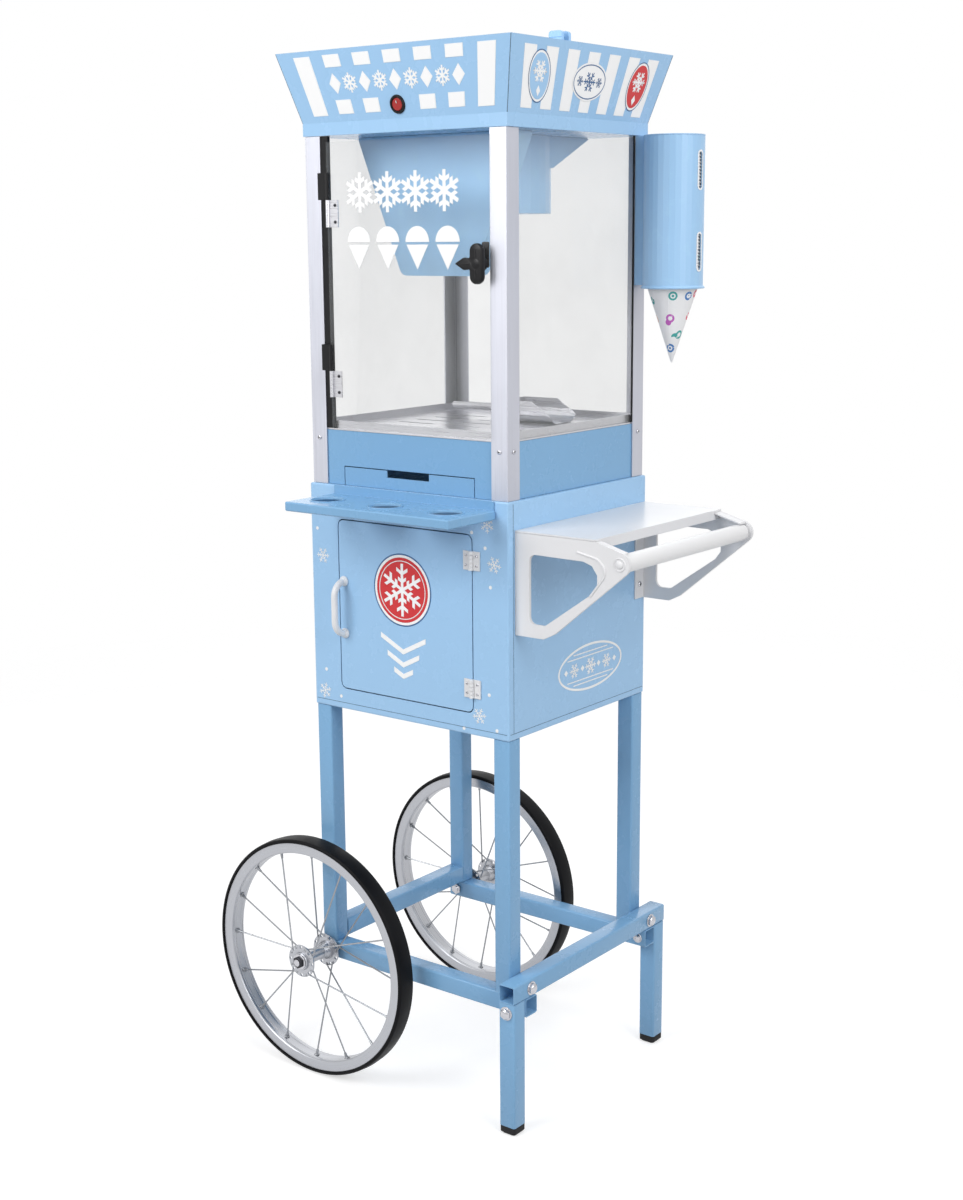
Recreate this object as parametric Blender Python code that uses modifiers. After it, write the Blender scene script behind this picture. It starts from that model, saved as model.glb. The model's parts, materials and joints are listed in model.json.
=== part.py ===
"""Snow cone machine: a glazed ice shaver kiosk on a two-wheeled cart.

X runs along the front, with the wheels at -X and the shelf at +X. The front faces -Y and +Z is up.
All sizes are in metres. The cart is laid out about the cabinet's centre line, and one empty then
moves it so that the origin is under the centre of its bounding box, on the floor.
"""

import math

import bmesh
import bpy
from mathutils import Matrix, Vector

# Shared clearances and sheet sizes
SEAT = 0.0003
PLAY = 0.0004
WELD_DISTANCE = 0.000001
SHEET = 0.0015
FINE_SIDES = 32
ROUND_SIDES = 24
SMALL_SIDES = 12
BOLT_SIDES = 8
SHAFT_SIDES = 16
HEX_SIDES = 6
SPOKE_SIDES = 4

# Cart frame
TUBE = 0.025
TUBE_WALL = 0.0015
FRAME_WIDTH = 0.328
FRAME_DEPTH = 0.312
FOOT_HEIGHT = 0.011
FOOT_PLUG = 0.018
FOOT_EDGE = 0.002
CROSS_RAIL_HEIGHT = 0.1575
CABINET_FLOOR = 0.524
BOLT_RADIUS = 0.003
BOLT_HEAD_RADIUS = 0.0068
BOLT_HEAD_HEIGHT = 0.0042

# Wheels
WHEEL_RADIUS = 0.170
WHEEL_SIDES = 36
WHEEL_GAP = 0.0335
AXLE_SETBACK = 0.0125
AXLE_RADIUS = 0.005
AXLE_NUT_RADIUS = 0.009
AXLE_NUT_HEIGHT = 0.0045
AXLE_TIP = 0.002
TYRE_WIDTH = 0.029
TYRE_CROWN = 0.006
TYRE_SHOULDER = 0.002
RIM_WIDTH = 0.025
RIM_FACE = 0.0155
RIM_WELL = 0.006
RIM_FLANGE = 0.002
HUB_LENGTH = 0.058
HUB_FLANGE_RADIUS = 0.023
HUB_FLANGE_GAUGE = 0.003
HUB_BARREL_RADIUS = 0.009
HUB_END_RADIUS = 0.013
HUB_FLANGE_SPREAD = 0.050
SPOKE_HOLE_INSET = 0.003
SPOKE_COUNT = 16
SPOKE_RADIUS = 0.0011
SPOKE_LEAD = math.radians(42)

# Storage cabinet and its door
CABINET_OVERHANG = 0.001
CABINET_HEIGHT = 0.305
CABINET_EDGE = 0.002
DOOR_INSET = 0.049
DOOR_WIDTH = 0.2235
DOOR_SILL = 0.030
DOOR_HEIGHT = 0.229
DOOR_GAP = 0.0015
DOOR_CORNER = 0.008
DOOR_DEPTH = 0.012
PULL_INSET = 0.0085
PULL_LOW = 0.076
PULL_LENGTH = 0.071
PULL_REACH = 0.025
PULL_RADIUS = 0.0045
PULL_FOOT_RADIUS = 0.007
PULL_FOOT_HEIGHT = 0.003
PULL_BEND = 0.019
PULL_BEND_STEPS = 5
HINGE_LEAF_WIDTH = 0.013
HINGE_HEIGHT = 0.0245
HINGE_GAUGE = 0.0016
HINGE_KNUCKLE = 0.003
HINGE_PIN = 0.0012
HINGE_INSET = 0.0195
HINGE_KNUCKLES = 5

# Kiosk base, deck and drawer
KIOSK_BASE_HEIGHT = 0.072
POST_FLANGE = 0.025
POST_GAUGE = 0.002
POST_SIDE_INSET = 0.0025
POST_FRONT_INSET = 0.003
DRAWER_WIDTH = 0.215
DRAWER_HEIGHT = 0.024
DRAWER_LENGTH = 0.260
DRAWER_WALL = 0.002
DRAWER_PLAY = 0.0012
DRAWER_GRIP_WIDTH = 0.070
DRAWER_GRIP_DROP = 0.009
DECK_GAUGE = 0.002
DECK_RIM = 0.010
DECK_SLOT_LENGTH = 0.060
DECK_SLOT_WIDTH = 0.006
DECK_SLOT_COLUMNS = 3
DECK_SLOT_ROWS = 5
DECK_SLOT_PITCH_X = 0.078
DECK_SLOT_PITCH_Y = 0.038

# Glazing and glass door
PANE_GAUGE = 0.003
GLASS_DOOR_GAUGE = 0.004
GLASS_DOOR_HINGE_ROOM = 0.0145
GLASS_DOOR_LAP = 0.0015
GLASS_DOOR_BOTTOM = 0.004
GLASS_DOOR_HEIGHT = 0.363
GLASS_DOOR_TOP_GAP = 0.008
GLASS_HINGE_INSET = 0.0035
GLASS_HINGE_RADIUS = 0.003
GLASS_HINGE_PIN = 0.0012
GLASS_HINGE_HEIGHT = 0.068
GLASS_HINGE_OFFSET = 0.040
GLASS_HINGE_LEAF = 0.016
GLASS_HINGE_GAUGE = 0.0015
STRIP_SETBACK = 0.0012
STRIP_DEPTH = 0.0045
STRIP_MARGIN = 0.002
KNOB_INSET = 0.011
KNOB_HEIGHT = 0.212
KNOB_SHAFT_RADIUS = 0.004
KNOB_HUB_RADIUS = 0.0095
KNOB_LOBE_LENGTH = 0.0243
KNOB_LOBE_WIDTH = 0.019
KNOB_POINT_LENGTH = 0.033
KNOB_THICKNESS = 0.013
KNOB_STANDOFF = 0.0045
KNOB_POINT_ROUND = 0.0015
KNOB_POINT_HALF = 0.0076
KNOB_POINT_BASE = 0.019
KNOB_SHOULDER_ROUND = 0.004
KNOB_NECK_HALF = 0.0067
KNOB_NECK_ROUND = 0.002
KNOB_LOBE_LEAN = 10
KNOB_LOBE_STEPS = 8
CAM_LENGTH = 0.026
CAM_WIDTH = 0.010
CAM_GAUGE = 0.003

# Header
HEADER_SIDE_OVERHANG = 0.0025
HEADER_FRONT_OVERHANG = 0.001
HEADER_BAND = 0.016
HEADER_RISE = 0.086
HEADER_FLARE = 0.023
HEADER_TOP_DROP = 0.002
SWITCH_HEIGHT = 0.0165
SWITCH_FLANGE_RADIUS = 0.0118
SWITCH_BARREL_RADIUS = 0.0098
SWITCH_BORE_RADIUS = 0.0086
SWITCH_FLANGE_GAUGE = 0.0018
SWITCH_DEPTH = 0.016
SWITCH_CHAMFER = 0.0008
ROCKER_RADIUS = 0.0080
ROCKER_HEIGHT = 0.0065
ROCKER_PIVOT = 0.0015
ROCKER_EDGE = 0.0008
ROCKER_REST = math.radians(-7)
INLET_WIDTH = 0.030
INLET_HEIGHT = 0.022
INLET_FLANGE = 0.004
INLET_DEPTH = 0.016
INLET_RISE = 0.045
INLET_OFFSET = -0.090

# Hopper, lid and shaver
HOPPER_RADIUS = 0.078
HOPPER_SETBACK = 0.025
HOPPER_FLOOR_GAP = 0.007
HOPPER_FLANGE = 0.004
SPOUT_WIDTH = 0.090
SPOUT_FRONT = -0.084
SPOUT_HEIGHT = 0.062
SPOUT_ROOT = 0.0195
SHAVER_SLOT_WIDTH = 0.010
SHAVER_SLOT_HEIGHT = 0.038
BLADE_WIDTH = 0.026
BLADE_GAUGE = 0.002
BLADE_OVERLAP = 0.003
BLADE_GRIND = 0.004
LID_RADIUS = 0.111
LID_HEIGHT = 0.0215
LID_WALL = 0.0025
LID_RIM_HEIGHT = 0.008
LID_EDGE = 0.002
LID_PIVOT_REACH = 0.020
LID_PIVOT_HEIGHT = 0.0085
LID_TONGUE_WIDTH = 0.009
LID_CHEEK = 0.005
LID_BLOCK_LENGTH = 0.020
LID_BLOCK_ROUND = 0.004
LID_PIN_RADIUS = 0.002
LID_TONGUE_HALF = 0.0044
LID_TONGUE_REACH = 0.005
LID_TONGUE_ROOT = 0.011
LID_TONGUE_ROUND = 0.004
ROTOR_SHAFT_RADIUS = 0.005
ROTOR_HUB_RADIUS = 0.016
ROTOR_HUB_HEIGHT = 0.030
ROTOR_HUB_TOP_RADIUS = 0.0096
ROTOR_PADDLES = 4
ROTOR_PADDLE_HEIGHT = 0.036
ROTOR_PADDLE_GAUGE = 0.004
ROTOR_PADDLE_SWEEP = 0.006
ROTOR_PADDLE_SLOPE = 0.007
ROTOR_RUNNING_GAP = 0.0012
ROTOR_SHAFT_DEPTH = 0.030
DRUM_RADIUS = 0.0815
DRUM_HEIGHT = 0.098
MOTOR_RADIUS = 0.046
MOTOR_HEIGHT = 0.084
MOTOR_CAP_STEP = 0.005
MOTOR_CAP_HEIGHT = 0.014
WEDGE_WIDTH = 0.150
WEDGE_FRONT = 0.065
WEDGE_BACK = 0.146
WEDGE_DROP = 0.040
CHUTE_TOP_WIDTH = 0.260
CHUTE_MOUTH_WIDTH = 0.120
CHUTE_HEIGHT = 0.176
CHUTE_SHOULDER = 0.003
CHUTE_FRONT = -0.085
CHUTE_CORNER = 0.012

# Front cone rack
RACK_CENTRE = 0.012
RACK_WIDTH = 0.268
RACK_REACH = 0.095
RACK_EDGE = 0.0015
RACK_DROP = 0.011
RACK_LIP = 0.012
RACK_GAUGE = 0.002
RACK_HOLES = 3
RACK_HOLE_PITCH = 0.098
RACK_HOLE_RADIUS = 0.0205
RACK_HOLE_REACH = 0.053

# Side shelf
SHELF_FRONT = -0.144
SHELF_LENGTH = 0.298
SHELF_REACH = 0.120
SHELF_DROP = 0.036
SHELF_GAUGE = 0.002
SHELF_LIP = 0.0125
BRACKET_GAUGE = 0.004
BRACKET_HEIGHT = 0.130
BRACKET_FOOT = 0.0435
BRACKET_TOE_WIDTH = 0.017
BRACKET_TOE_RISE = 0.0085
BRACKET_FLANGE = 0.024
FRONT_ARM_FLANGE = 0.012
REAR_ARM_FLANGE = 0.018
BRACKET_TIP = 0.0145
BRACKET_NOSE_TOP = 72
BRACKET_NOSE_END = -50
BRACKET_WINDOW_INSET = 0.022
BRACKET_WINDOW_DROP = 0.025
BRACKET_WINDOW_SILL = 0.017
BRACKET_WINDOW_FOOT = 0.0455
BRACKET_WINDOW_NOSE = 0.1697
BRACKET_WINDOW_NOSE_DROP = 0.0267
BRACKET_WINDOW_ROUND = 0.009
BRACKET_WINDOW_NOSE_ROUND = 0.0215
BAR_REACH = 0.1545
BAR_DROP = 0.0245
BAR_RADIUS = 0.0112

# Cone dispenser, cones and scoop
DISPENSER_RADIUS = 0.0395
DISPENSER_WALL = 0.0011
DISPENSER_HEIGHT = 0.195
DISPENSER_STANDOFF = 0.0115
DISPENSER_FLARE = 0.002
DISPENSER_BRACKET_WIDTH = 0.025
DISPENSER_BACK_INSET = 0.011
DISPENSER_SLOT_WIDTH = 0.008
DISPENSER_SLOT_LENGTH = 0.046
DISPENSER_SLOT_RISE = 0.024
DISPENSER_SLOT_PITCH = 0.103
DISPENSER_SLOT_ROUND = 0.0039
CONE_RADIUS = 0.038
CONE_HEIGHT = 0.112
CONE_WALL = 0.001
CONE_REST = 0.015
CONE_RIM = 0.0015
STACK_RIMS = 9
STACK_PITCH = 0.014
STACK_WELL = 0.078
SCOOP_BOWL_LENGTH = 0.085
SCOOP_BOWL_WIDTH = 0.062
SCOOP_BOWL_HEIGHT = 0.030
SCOOP_GAUGE = 0.0012
SCOOP_HANDLE_LENGTH = 0.100
SCOOP_HANDLE_RADIUS = 0.006
SCOOP_HANDLE_END_RADIUS = 0.0045
SCOOP_HANDLE_RISE = 0.0165
SCOOP_ROUND = 0.017
SCOOP_ROUND_STEPS = 5
SCOOP_RAKE_START = 0.053
SCOOP_RAKE_END = 0.102
SCOOP_CENTRE = (0.010, 0.060)

# Places that follow from the sizes above
LEG_X = FRAME_WIDTH / 2 - TUBE / 2
LEG_Y = FRAME_DEPTH / 2 - TUBE / 2
RAIL_TOP = CROSS_RAIL_HEIGHT + TUBE
CABINET_X = FRAME_WIDTH / 2 + CABINET_OVERHANG
CABINET_Y = FRAME_DEPTH / 2 + CABINET_OVERHANG
CABINET_TOP = CABINET_FLOOR + CABINET_HEIGHT
POST_X = FRAME_WIDTH / 2 - POST_SIDE_INSET
POST_Y = FRAME_DEPTH / 2 - POST_FRONT_INSET
POST_HEIGHT = KIOSK_BASE_HEIGHT + GLASS_DOOR_BOTTOM + GLASS_DOOR_HEIGHT + GLASS_DOOR_TOP_GAP
POST_TOP = CABINET_TOP + POST_HEIGHT
BASE_X = POST_X - POST_GAUGE - SEAT
BASE_Y = POST_Y - POST_GAUGE - SEAT
BASE_TOP = CABINET_TOP + KIOSK_BASE_HEIGHT
DECK_TOP = BASE_TOP + SEAT + DECK_GAUGE
PANE_BOTTOM = DECK_TOP + SEAT
PANE_TOP = POST_TOP
HEADER_X = POST_X + HEADER_SIDE_OVERHANG
HEADER_Y = POST_Y + HEADER_FRONT_OVERHANG
HEADER_BOTTOM = POST_TOP + SEAT
HEADER_TOP = HEADER_BOTTOM + HEADER_BAND + HEADER_RISE
HEADER_TILT = math.atan2(HEADER_FLARE, HEADER_RISE)
HEADER_FLOOR = HEADER_BOTTOM + SHEET
TOP_PLATE_TOP = HEADER_TOP - HEADER_TOP_DROP
DOOR_LEFT = -CABINET_X + DOOR_INSET
DOOR_BOTTOM = CABINET_FLOOR + DOOR_SILL
DOOR_RIGHT = DOOR_LEFT + DOOR_WIDTH
HINGE_Y = -CABINET_Y - SEAT - HINGE_KNUCKLE
GLASS_DOOR_LEFT = -POST_X + POST_FLANGE + GLASS_DOOR_HINGE_ROOM
GLASS_DOOR_RIGHT = POST_X - POST_FLANGE + GLASS_DOOR_LAP
GLASS_DOOR_LOW = BASE_TOP + GLASS_DOOR_BOTTOM
GLASS_HINGE_X = GLASS_DOOR_LEFT + GLASS_HINGE_INSET
GLASS_DOOR_FRONT = -POST_Y - SEAT - GLASS_DOOR_GAUGE
GLASS_HINGE_Y = GLASS_DOOR_FRONT - GLASS_HINGE_RADIUS
KNOB_X = GLASS_DOOR_RIGHT - KNOB_INSET
KNOB_Z = GLASS_DOOR_LOW + KNOB_HEIGHT
WHEEL_X = -FRAME_WIDTH / 2 + AXLE_SETBACK
WHEEL_Y = FRAME_DEPTH / 2 + WHEEL_GAP
HOPPER_BOTTOM = HEADER_FLOOR + HOPPER_FLOOR_GAP
HOPPER_TOP = TOP_PLATE_TOP + SEAT + SHEET
LID_BOTTOM = TOP_PLATE_TOP + SEAT
LID_PIVOT_X = LID_RADIUS + LID_PIVOT_REACH
LID_PIVOT_Z = LID_BOTTOM + LID_PIVOT_HEIGHT
HOUSING_TOP = HEADER_BOTTOM - SEAT
CHUTE_BACK = HOPPER_SETBACK - DRUM_RADIUS - SEAT
RACK_TOP = CABINET_TOP - RACK_DROP
SHELF_X = CABINET_X + SEAT
SHELF_BACK = SHELF_FRONT + SHELF_LENGTH
BRACKET_TOP = CABINET_TOP - SHELF_DROP - SHELF_GAUGE - SEAT
BAR_X = SHELF_X + BAR_REACH
BAR_Z = BRACKET_TOP - BAR_DROP
DISPENSER_X = POST_X + DISPENSER_STANDOFF + DISPENSER_RADIUS
DISPENSER_Y = POST_Y - DISPENSER_BACK_INSET
DISPENSER_TOP = POST_TOP - SEAT
DISPENSER_BOTTOM = DISPENSER_TOP - DISPENSER_HEIGHT
AXLE_END = WHEEL_Y + HUB_LENGTH / 2 + SEAT + AXLE_NUT_HEIGHT + AXLE_TIP

# The bounding box that sets the origin
BOX_LEFT = WHEEL_X - WHEEL_RADIUS
BOX_RIGHT = BAR_X + BRACKET_TIP
BOX_FRONT = -CABINET_Y - SEAT - RACK_REACH
BOX_BACK = AXLE_END
CENTRE = Vector(((BOX_LEFT + BOX_RIGHT) / 2, (BOX_FRONT + BOX_BACK) / 2, 0.0))

X_AXIS = Vector((1.0, 0.0, 0.0))
Y_AXIS = Vector((0.0, 1.0, 0.0))
Z_AXIS = Vector((0.0, 0.0, 1.0))


def clear_scene():
    for old in list(bpy.data.objects):
        bpy.data.objects.remove(old, do_unlink=True)


def new_collection(name):
    collection = bpy.data.collections.new(name)
    bpy.context.scene.collection.children.link(collection)
    return collection


clear_scene()
PARTS = new_collection("snow_cone_cart")
CUTTERS = new_collection("cutters")


def paint(name, colour, roughness, metallic=0.0, alpha=1.0):
    material = bpy.data.materials.new(name)
    material.use_nodes = True
    shader = material.node_tree.nodes["Principled BSDF"]
    shader.inputs["Base Color"].default_value = (*colour, 1.0)
    shader.inputs["Roughness"].default_value = roughness
    shader.inputs["Metallic"].default_value = metallic
    shader.inputs["Alpha"].default_value = alpha
    return material


BLUE = paint("sky_blue_enamel", (0.36, 0.58, 0.83), 0.35)
WHITE = paint("white_enamel", (0.82, 0.83, 0.86), 0.4)
ALUMINIUM = paint("aluminium", (0.72, 0.72, 0.78), 0.35, 1.0)
STEEL = paint("steel", (0.6, 0.6, 0.62), 0.3, 1.0)
CHROME = paint("chrome", (0.8, 0.8, 0.82), 0.12, 1.0)
RUBBER = paint("black_rubber", (0.02, 0.02, 0.022), 0.75)
BLACK = paint("black_plastic", (0.03, 0.035, 0.035), 0.4)
GLASS = paint("clear_glass", (0.95, 0.97, 0.98), 0.05, 0.0, 0.25)
RED = paint("red_plastic", (0.7, 0.03, 0.02), 0.3)
PAPER = paint("paper", (0.9, 0.89, 0.87), 0.8)


def empty_at(name, place):
    empty = bpy.data.objects.new(name, None)
    empty.empty_display_size = 0.02
    PARTS.objects.link(empty)
    empty.location = Vector(place)
    return empty


CART = empty_at("cart_origin", -CENTRE)


def world_place(empty):
    """Place of an empty in cart coordinates."""
    place = Vector((0.0, 0.0, 0.0))
    while empty is not None and empty is not CART:
        place += empty.location
        empty = empty.parent
    return place


def pivot(name, place, parent):
    """Empty that carries a moving piece, on its joint's axis."""
    empty = empty_at(name, place)
    empty.parent = parent
    empty.location -= world_place(parent)
    return empty


def place_in(obj, collection, material, carrier):
    """Links an object that is laid out in cart coordinates and hands it to its carrier."""
    collection.objects.link(obj)
    if material is not None:
        obj.data.materials.append(material)
    obj.parent = carrier
    obj.location -= world_place(carrier)
    return obj


def solid(name, bm, material=None, carrier=None, location=(0, 0, 0)):
    mesh = bpy.data.meshes.new(name)
    bm.to_mesh(mesh)
    bm.free()
    obj = bpy.data.objects.new(name, mesh)
    obj.location = Vector(location)
    carrier = carrier or CART
    collection = CUTTERS if material is None else PARTS
    place_in(obj, collection, material, carrier)
    if material is None:
        as_tool(obj)
    return obj


def as_tool(obj):
    obj.hide_render = True
    obj.display_type = "WIRE"


def box(name, low, high, material=None, carrier=None):
    low = Vector(low)
    high = Vector(high)
    bm = bmesh.new()
    bmesh.ops.create_cube(bm, size=1.0)
    bmesh.ops.scale(bm, vec=high - low, verts=bm.verts)
    return solid(name, bm, material, carrier, (low + high) / 2)


def turn_to(axis):
    """Rotation that carries +Z to the given axis."""
    return Z_AXIS.rotation_difference(Vector(axis)).to_matrix().to_4x4()


def rod(name, start, end, radius, material=None, carrier=None, sides=ROUND_SIDES, end_radius=None):
    start = Vector(start)
    end = Vector(end)
    last = radius if end_radius is None else end_radius
    bm = bmesh.new()
    bmesh.ops.create_cone(bm, cap_ends=True, segments=sides, radius1=radius, radius2=last,
                          depth=(end - start).length)
    bmesh.ops.rotate(bm, matrix=turn_to(end - start), verts=bm.verts)
    obj = solid(name, bm, material, carrier, (start + end) / 2)
    smooth(obj)
    return obj


def smooth(obj):
    obj.data.shade_smooth()
    obj.data.set_sharp_from_angle(angle=math.radians(35))


def turned(name, profile, place, axis=Z_AXIS, material=None, carrier=None, sides=ROUND_SIDES, closed=False):
    """Turns a profile of (radius, height) points, listed down its outer side."""
    bm = bmesh.new()
    points = [bm.verts.new((radius, 0.0, height)) for radius, height in profile]
    pairs = list(zip(points, points[1:]))
    if closed:
        pairs.append((points[-1], points[0]))
    for first, second in pairs:
        bm.edges.new((first, second))
    obj = solid(name, bm, material, carrier, place)
    obj.rotation_euler = turn_to(axis).to_euler()
    screw = obj.modifiers.new("turn", "SCREW")
    screw.axis = "Z"
    screw.steps = sides
    screw.render_steps = sides
    screw.use_merge_vertices = True
    screw.merge_threshold = 0.00001
    screw.use_smooth_shade = True
    return obj


def arc(centre, radius, start, end, steps):
    """Points on an arc, angles in degrees, both ends included."""
    angles = [math.radians(start + (end - start) * i / steps) for i in range(steps + 1)]
    return [(centre[0] + radius * math.cos(a), centre[1] + radius * math.sin(a)) for a in angles]


def dome(radius, rim, crown, steps):
    """Profile of a shallow dome from its crown down to its rim, as (radius, height) points."""
    rise = crown - rim
    ball = (radius ** 2 + rise ** 2) / (2 * rise)
    edge = math.asin(radius / ball)
    points = [(0.0, crown)]
    for step in range(1, steps + 1):
        angle = edge * step / steps
        points.append((ball * math.sin(angle), crown - ball + ball * math.cos(angle)))
    return points


def rounded(corners, steps=4):
    """Outline from (x, y, radius) corners, with each corner of some radius rounded off."""
    outline = []
    count = len(corners)
    for index, (x, y, radius) in enumerate(corners):
        here = Vector((x, y))
        if radius == 0:
            outline.append((x, y))
            continue
        before = Vector(corners[index - 1][:2]) - here
        after = Vector(corners[(index + 1) % count][:2]) - here
        half = before.angle(after) / 2
        reach = radius / math.tan(half)
        start = here + before.normalized() * reach
        end = here + after.normalized() * reach
        middle = here + (before.normalized() + after.normalized()).normalized() * radius / math.sin(half)
        first = start - middle
        sweep = first.angle_signed(end - middle)
        for step in range(steps + 1):
            turn = Matrix.Rotation(-sweep * step / steps, 2)
            point = middle + turn @ first
            outline.append((point.x, point.y))
    return outline


FLAT = Matrix.Identity(4)
UPRIGHT_FRONT = Matrix.Rotation(math.radians(90), 4, "X")
UPRIGHT_SIDE = Matrix.Rotation(math.radians(90), 4, "Z") @ UPRIGHT_FRONT


def slab(name, outline, low, high, facing, material=None, carrier=None, holes=()):
    """Flat outline with thickness. FLAT outlines are (X, Y) and rise in Z, UPRIGHT_FRONT ones are
    (X, Z) and run in Y, and UPRIGHT_SIDE ones are (Y, Z) and run in X."""
    curve = bpy.data.curves.new(name + "_outline", "CURVE")
    curve.dimensions = "2D"
    curve.fill_mode = "BOTH"
    curve.extrude = (high - low) / 2
    for loop in [outline, *holes]:
        spline = curve.splines.new("POLY")
        spline.points.add(len(loop) - 1)
        for point, (x, y) in zip(spline.points, loop):
            point.co = (x, y, 0.0, 1.0)
        spline.use_cyclic_u = True
    sketch = bpy.data.objects.new(name + "_outline", curve)
    CUTTERS.objects.link(sketch)
    normal = facing @ Z_AXIS
    sense = 1.0 if normal.x + normal.y + normal.z > 0 else -1.0
    sketch.matrix_world = Matrix.Translation(normal * sense * (low + high) / 2) @ facing
    bpy.context.view_layer.update()
    return as_mesh(name, sketch, material, carrier)


def as_mesh(name, sketch, material, carrier=None):
    """Makes a mesh object of a curve, with its caps welded, and removes the curve."""
    graph = bpy.context.evaluated_depsgraph_get()
    mesh = bpy.data.meshes.new_from_object(sketch.evaluated_get(graph))
    bm = bmesh.new()
    bm.from_mesh(mesh)
    bmesh.ops.remove_doubles(bm, verts=bm.verts, dist=0.00001)
    bmesh.ops.recalc_face_normals(bm, faces=bm.faces)
    obj = solid(name, bm, material, carrier)
    obj.matrix_local = Matrix.Translation(-world_place(carrier)) @ sketch.matrix_world
    smooth(obj)
    bpy.data.objects.remove(sketch, do_unlink=True)
    bpy.data.meshes.remove(mesh)
    return obj


def wire(name, points, radius, material=None, carrier=None, detail=2):
    """Round bar along a smooth route."""
    curve = bpy.data.curves.new(name + "_route", "CURVE")
    curve.dimensions = "3D"
    curve.bevel_depth = radius
    curve.bevel_resolution = detail
    curve.use_fill_caps = True
    spline = curve.splines.new("POLY")
    spline.points.add(len(points) - 1)
    for point, place in zip(spline.points, points):
        point.co = (*place, 1.0)
    sketch = bpy.data.objects.new(name + "_route", curve)
    CUTTERS.objects.link(sketch)
    bpy.context.view_layer.update()
    return as_mesh(name, sketch, material, carrier)


def combine(obj, tool, operation):
    step = obj.modifiers.new(tool.name, "BOOLEAN")
    step.operation = operation
    step.solver = "EXACT"
    step.object = tool
    return obj


def cut(obj, tool):
    return combine(obj, tool, "DIFFERENCE")


def join(obj, tool):
    return combine(obj, tool, "UNION")


def bevel(obj, width, segments=2, angle=30):
    step = obj.modifiers.new("edges", "BEVEL")
    step.width = width
    step.segments = segments
    step.limit_method = "ANGLE"
    step.angle_limit = math.radians(angle)
    return obj


def square_tube(name, low, high, axis, material, carrier=None):
    """Open-ended square tube along X, Y or Z (axis 0, 1 or 2)."""
    body = box(name, low, high, material, carrier)
    inner_low = [value + TUBE_WALL for value in low]
    inner_high = [value - TUBE_WALL for value in high]
    inner_low[axis] = low[axis] - TUBE
    inner_high[axis] = high[axis] + TUBE
    return cut(body, box(name + "_bore", inner_low, inner_high, None, carrier))


def join_bolt(obj, head_face, nut_face, head_on_obj, nut_on_obj):
    """Joins a bolt whose head and nut seat on the two faces. An end that lies on the object itself
    is let into it by a seat's depth, so that the union has no faces in one plane."""
    head_face = Vector(head_face)
    nut_face = Vector(nut_face)
    along = (nut_face - head_face).normalized()
    height = BOLT_HEAD_HEIGHT
    head_start = head_face + along * (SEAT if head_on_obj else 0.0)
    nut_start = nut_face - along * (SEAT if nut_on_obj else 0.0)
    shank = rod("bolt_shank", head_face - along * height / 2, nut_face + along * height / 2,
                BOLT_RADIUS, sides=BOLT_SIDES)
    head = rod("bolt_head", head_start, head_face - along * height, BOLT_HEAD_RADIUS, sides=HEX_SIDES)
    nut = rod("bolt_nut", nut_start, nut_face + along * height, BOLT_HEAD_RADIUS, sides=HEX_SIDES)
    for piece in (shank, head, nut):
        join(obj, piece)


# Cart frame

def build_upper_legs():
    for side, sx in (("left", -1), ("right", 1)):
        for depth, sy in (("front", -1), ("rear", 1)):
            x = sx * LEG_X
            y = sy * LEG_Y
            half = TUBE / 2
            leg = square_tube(f"{depth}_{side}_leg", (x - half, y - half, RAIL_TOP + SEAT),
                              (x + half, y + half, CABINET_FLOOR - SEAT), 2, BLUE)
            if side == "right":
                z = RAIL_TOP + TUBE / 2
                cut(leg, rod(leg.name + "_bolt_hole", (x - TUBE, y, z), (x + TUBE, y, z), BOLT_RADIUS + PLAY,
                             sides=BOLT_SIDES))


def build_rails():
    end = FRAME_WIDTH / 2 + TUBE
    for depth, sy in (("front", -1), ("rear", 1)):
        y = sy * LEG_Y
        rail = square_tube(f"{depth}_cross_rail", (-FRAME_WIDTH / 2, y - TUBE / 2, CROSS_RAIL_HEIGHT),
                           (end, y + TUBE / 2, RAIL_TOP), 0, BLUE)
        z = CROSS_RAIL_HEIGHT + TUBE / 2
        cut(rail, rod(rail.name + "_axle_hole", (WHEEL_X, y - TUBE, z), (WHEEL_X, y + TUBE, z),
                      AXLE_RADIUS + PLAY, sides=SMALL_SIDES))
        bolt_x = FRAME_WIDTH / 2 + TUBE / 2
        cut(rail, rod(rail.name + "_bolt_hole", (bolt_x, y - TUBE, z), (bolt_x, y + TUBE, z),
                      BOLT_RADIUS + PLAY, sides=BOLT_SIDES))
    reach = FRAME_DEPTH / 2 - TUBE - SEAT
    square_tube("left_side_rail", (-FRAME_WIDTH / 2, -reach, RAIL_TOP + SEAT),
                (-FRAME_WIDTH / 2 + TUBE, reach, RAIL_TOP + TUBE), 1, BLUE)


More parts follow.
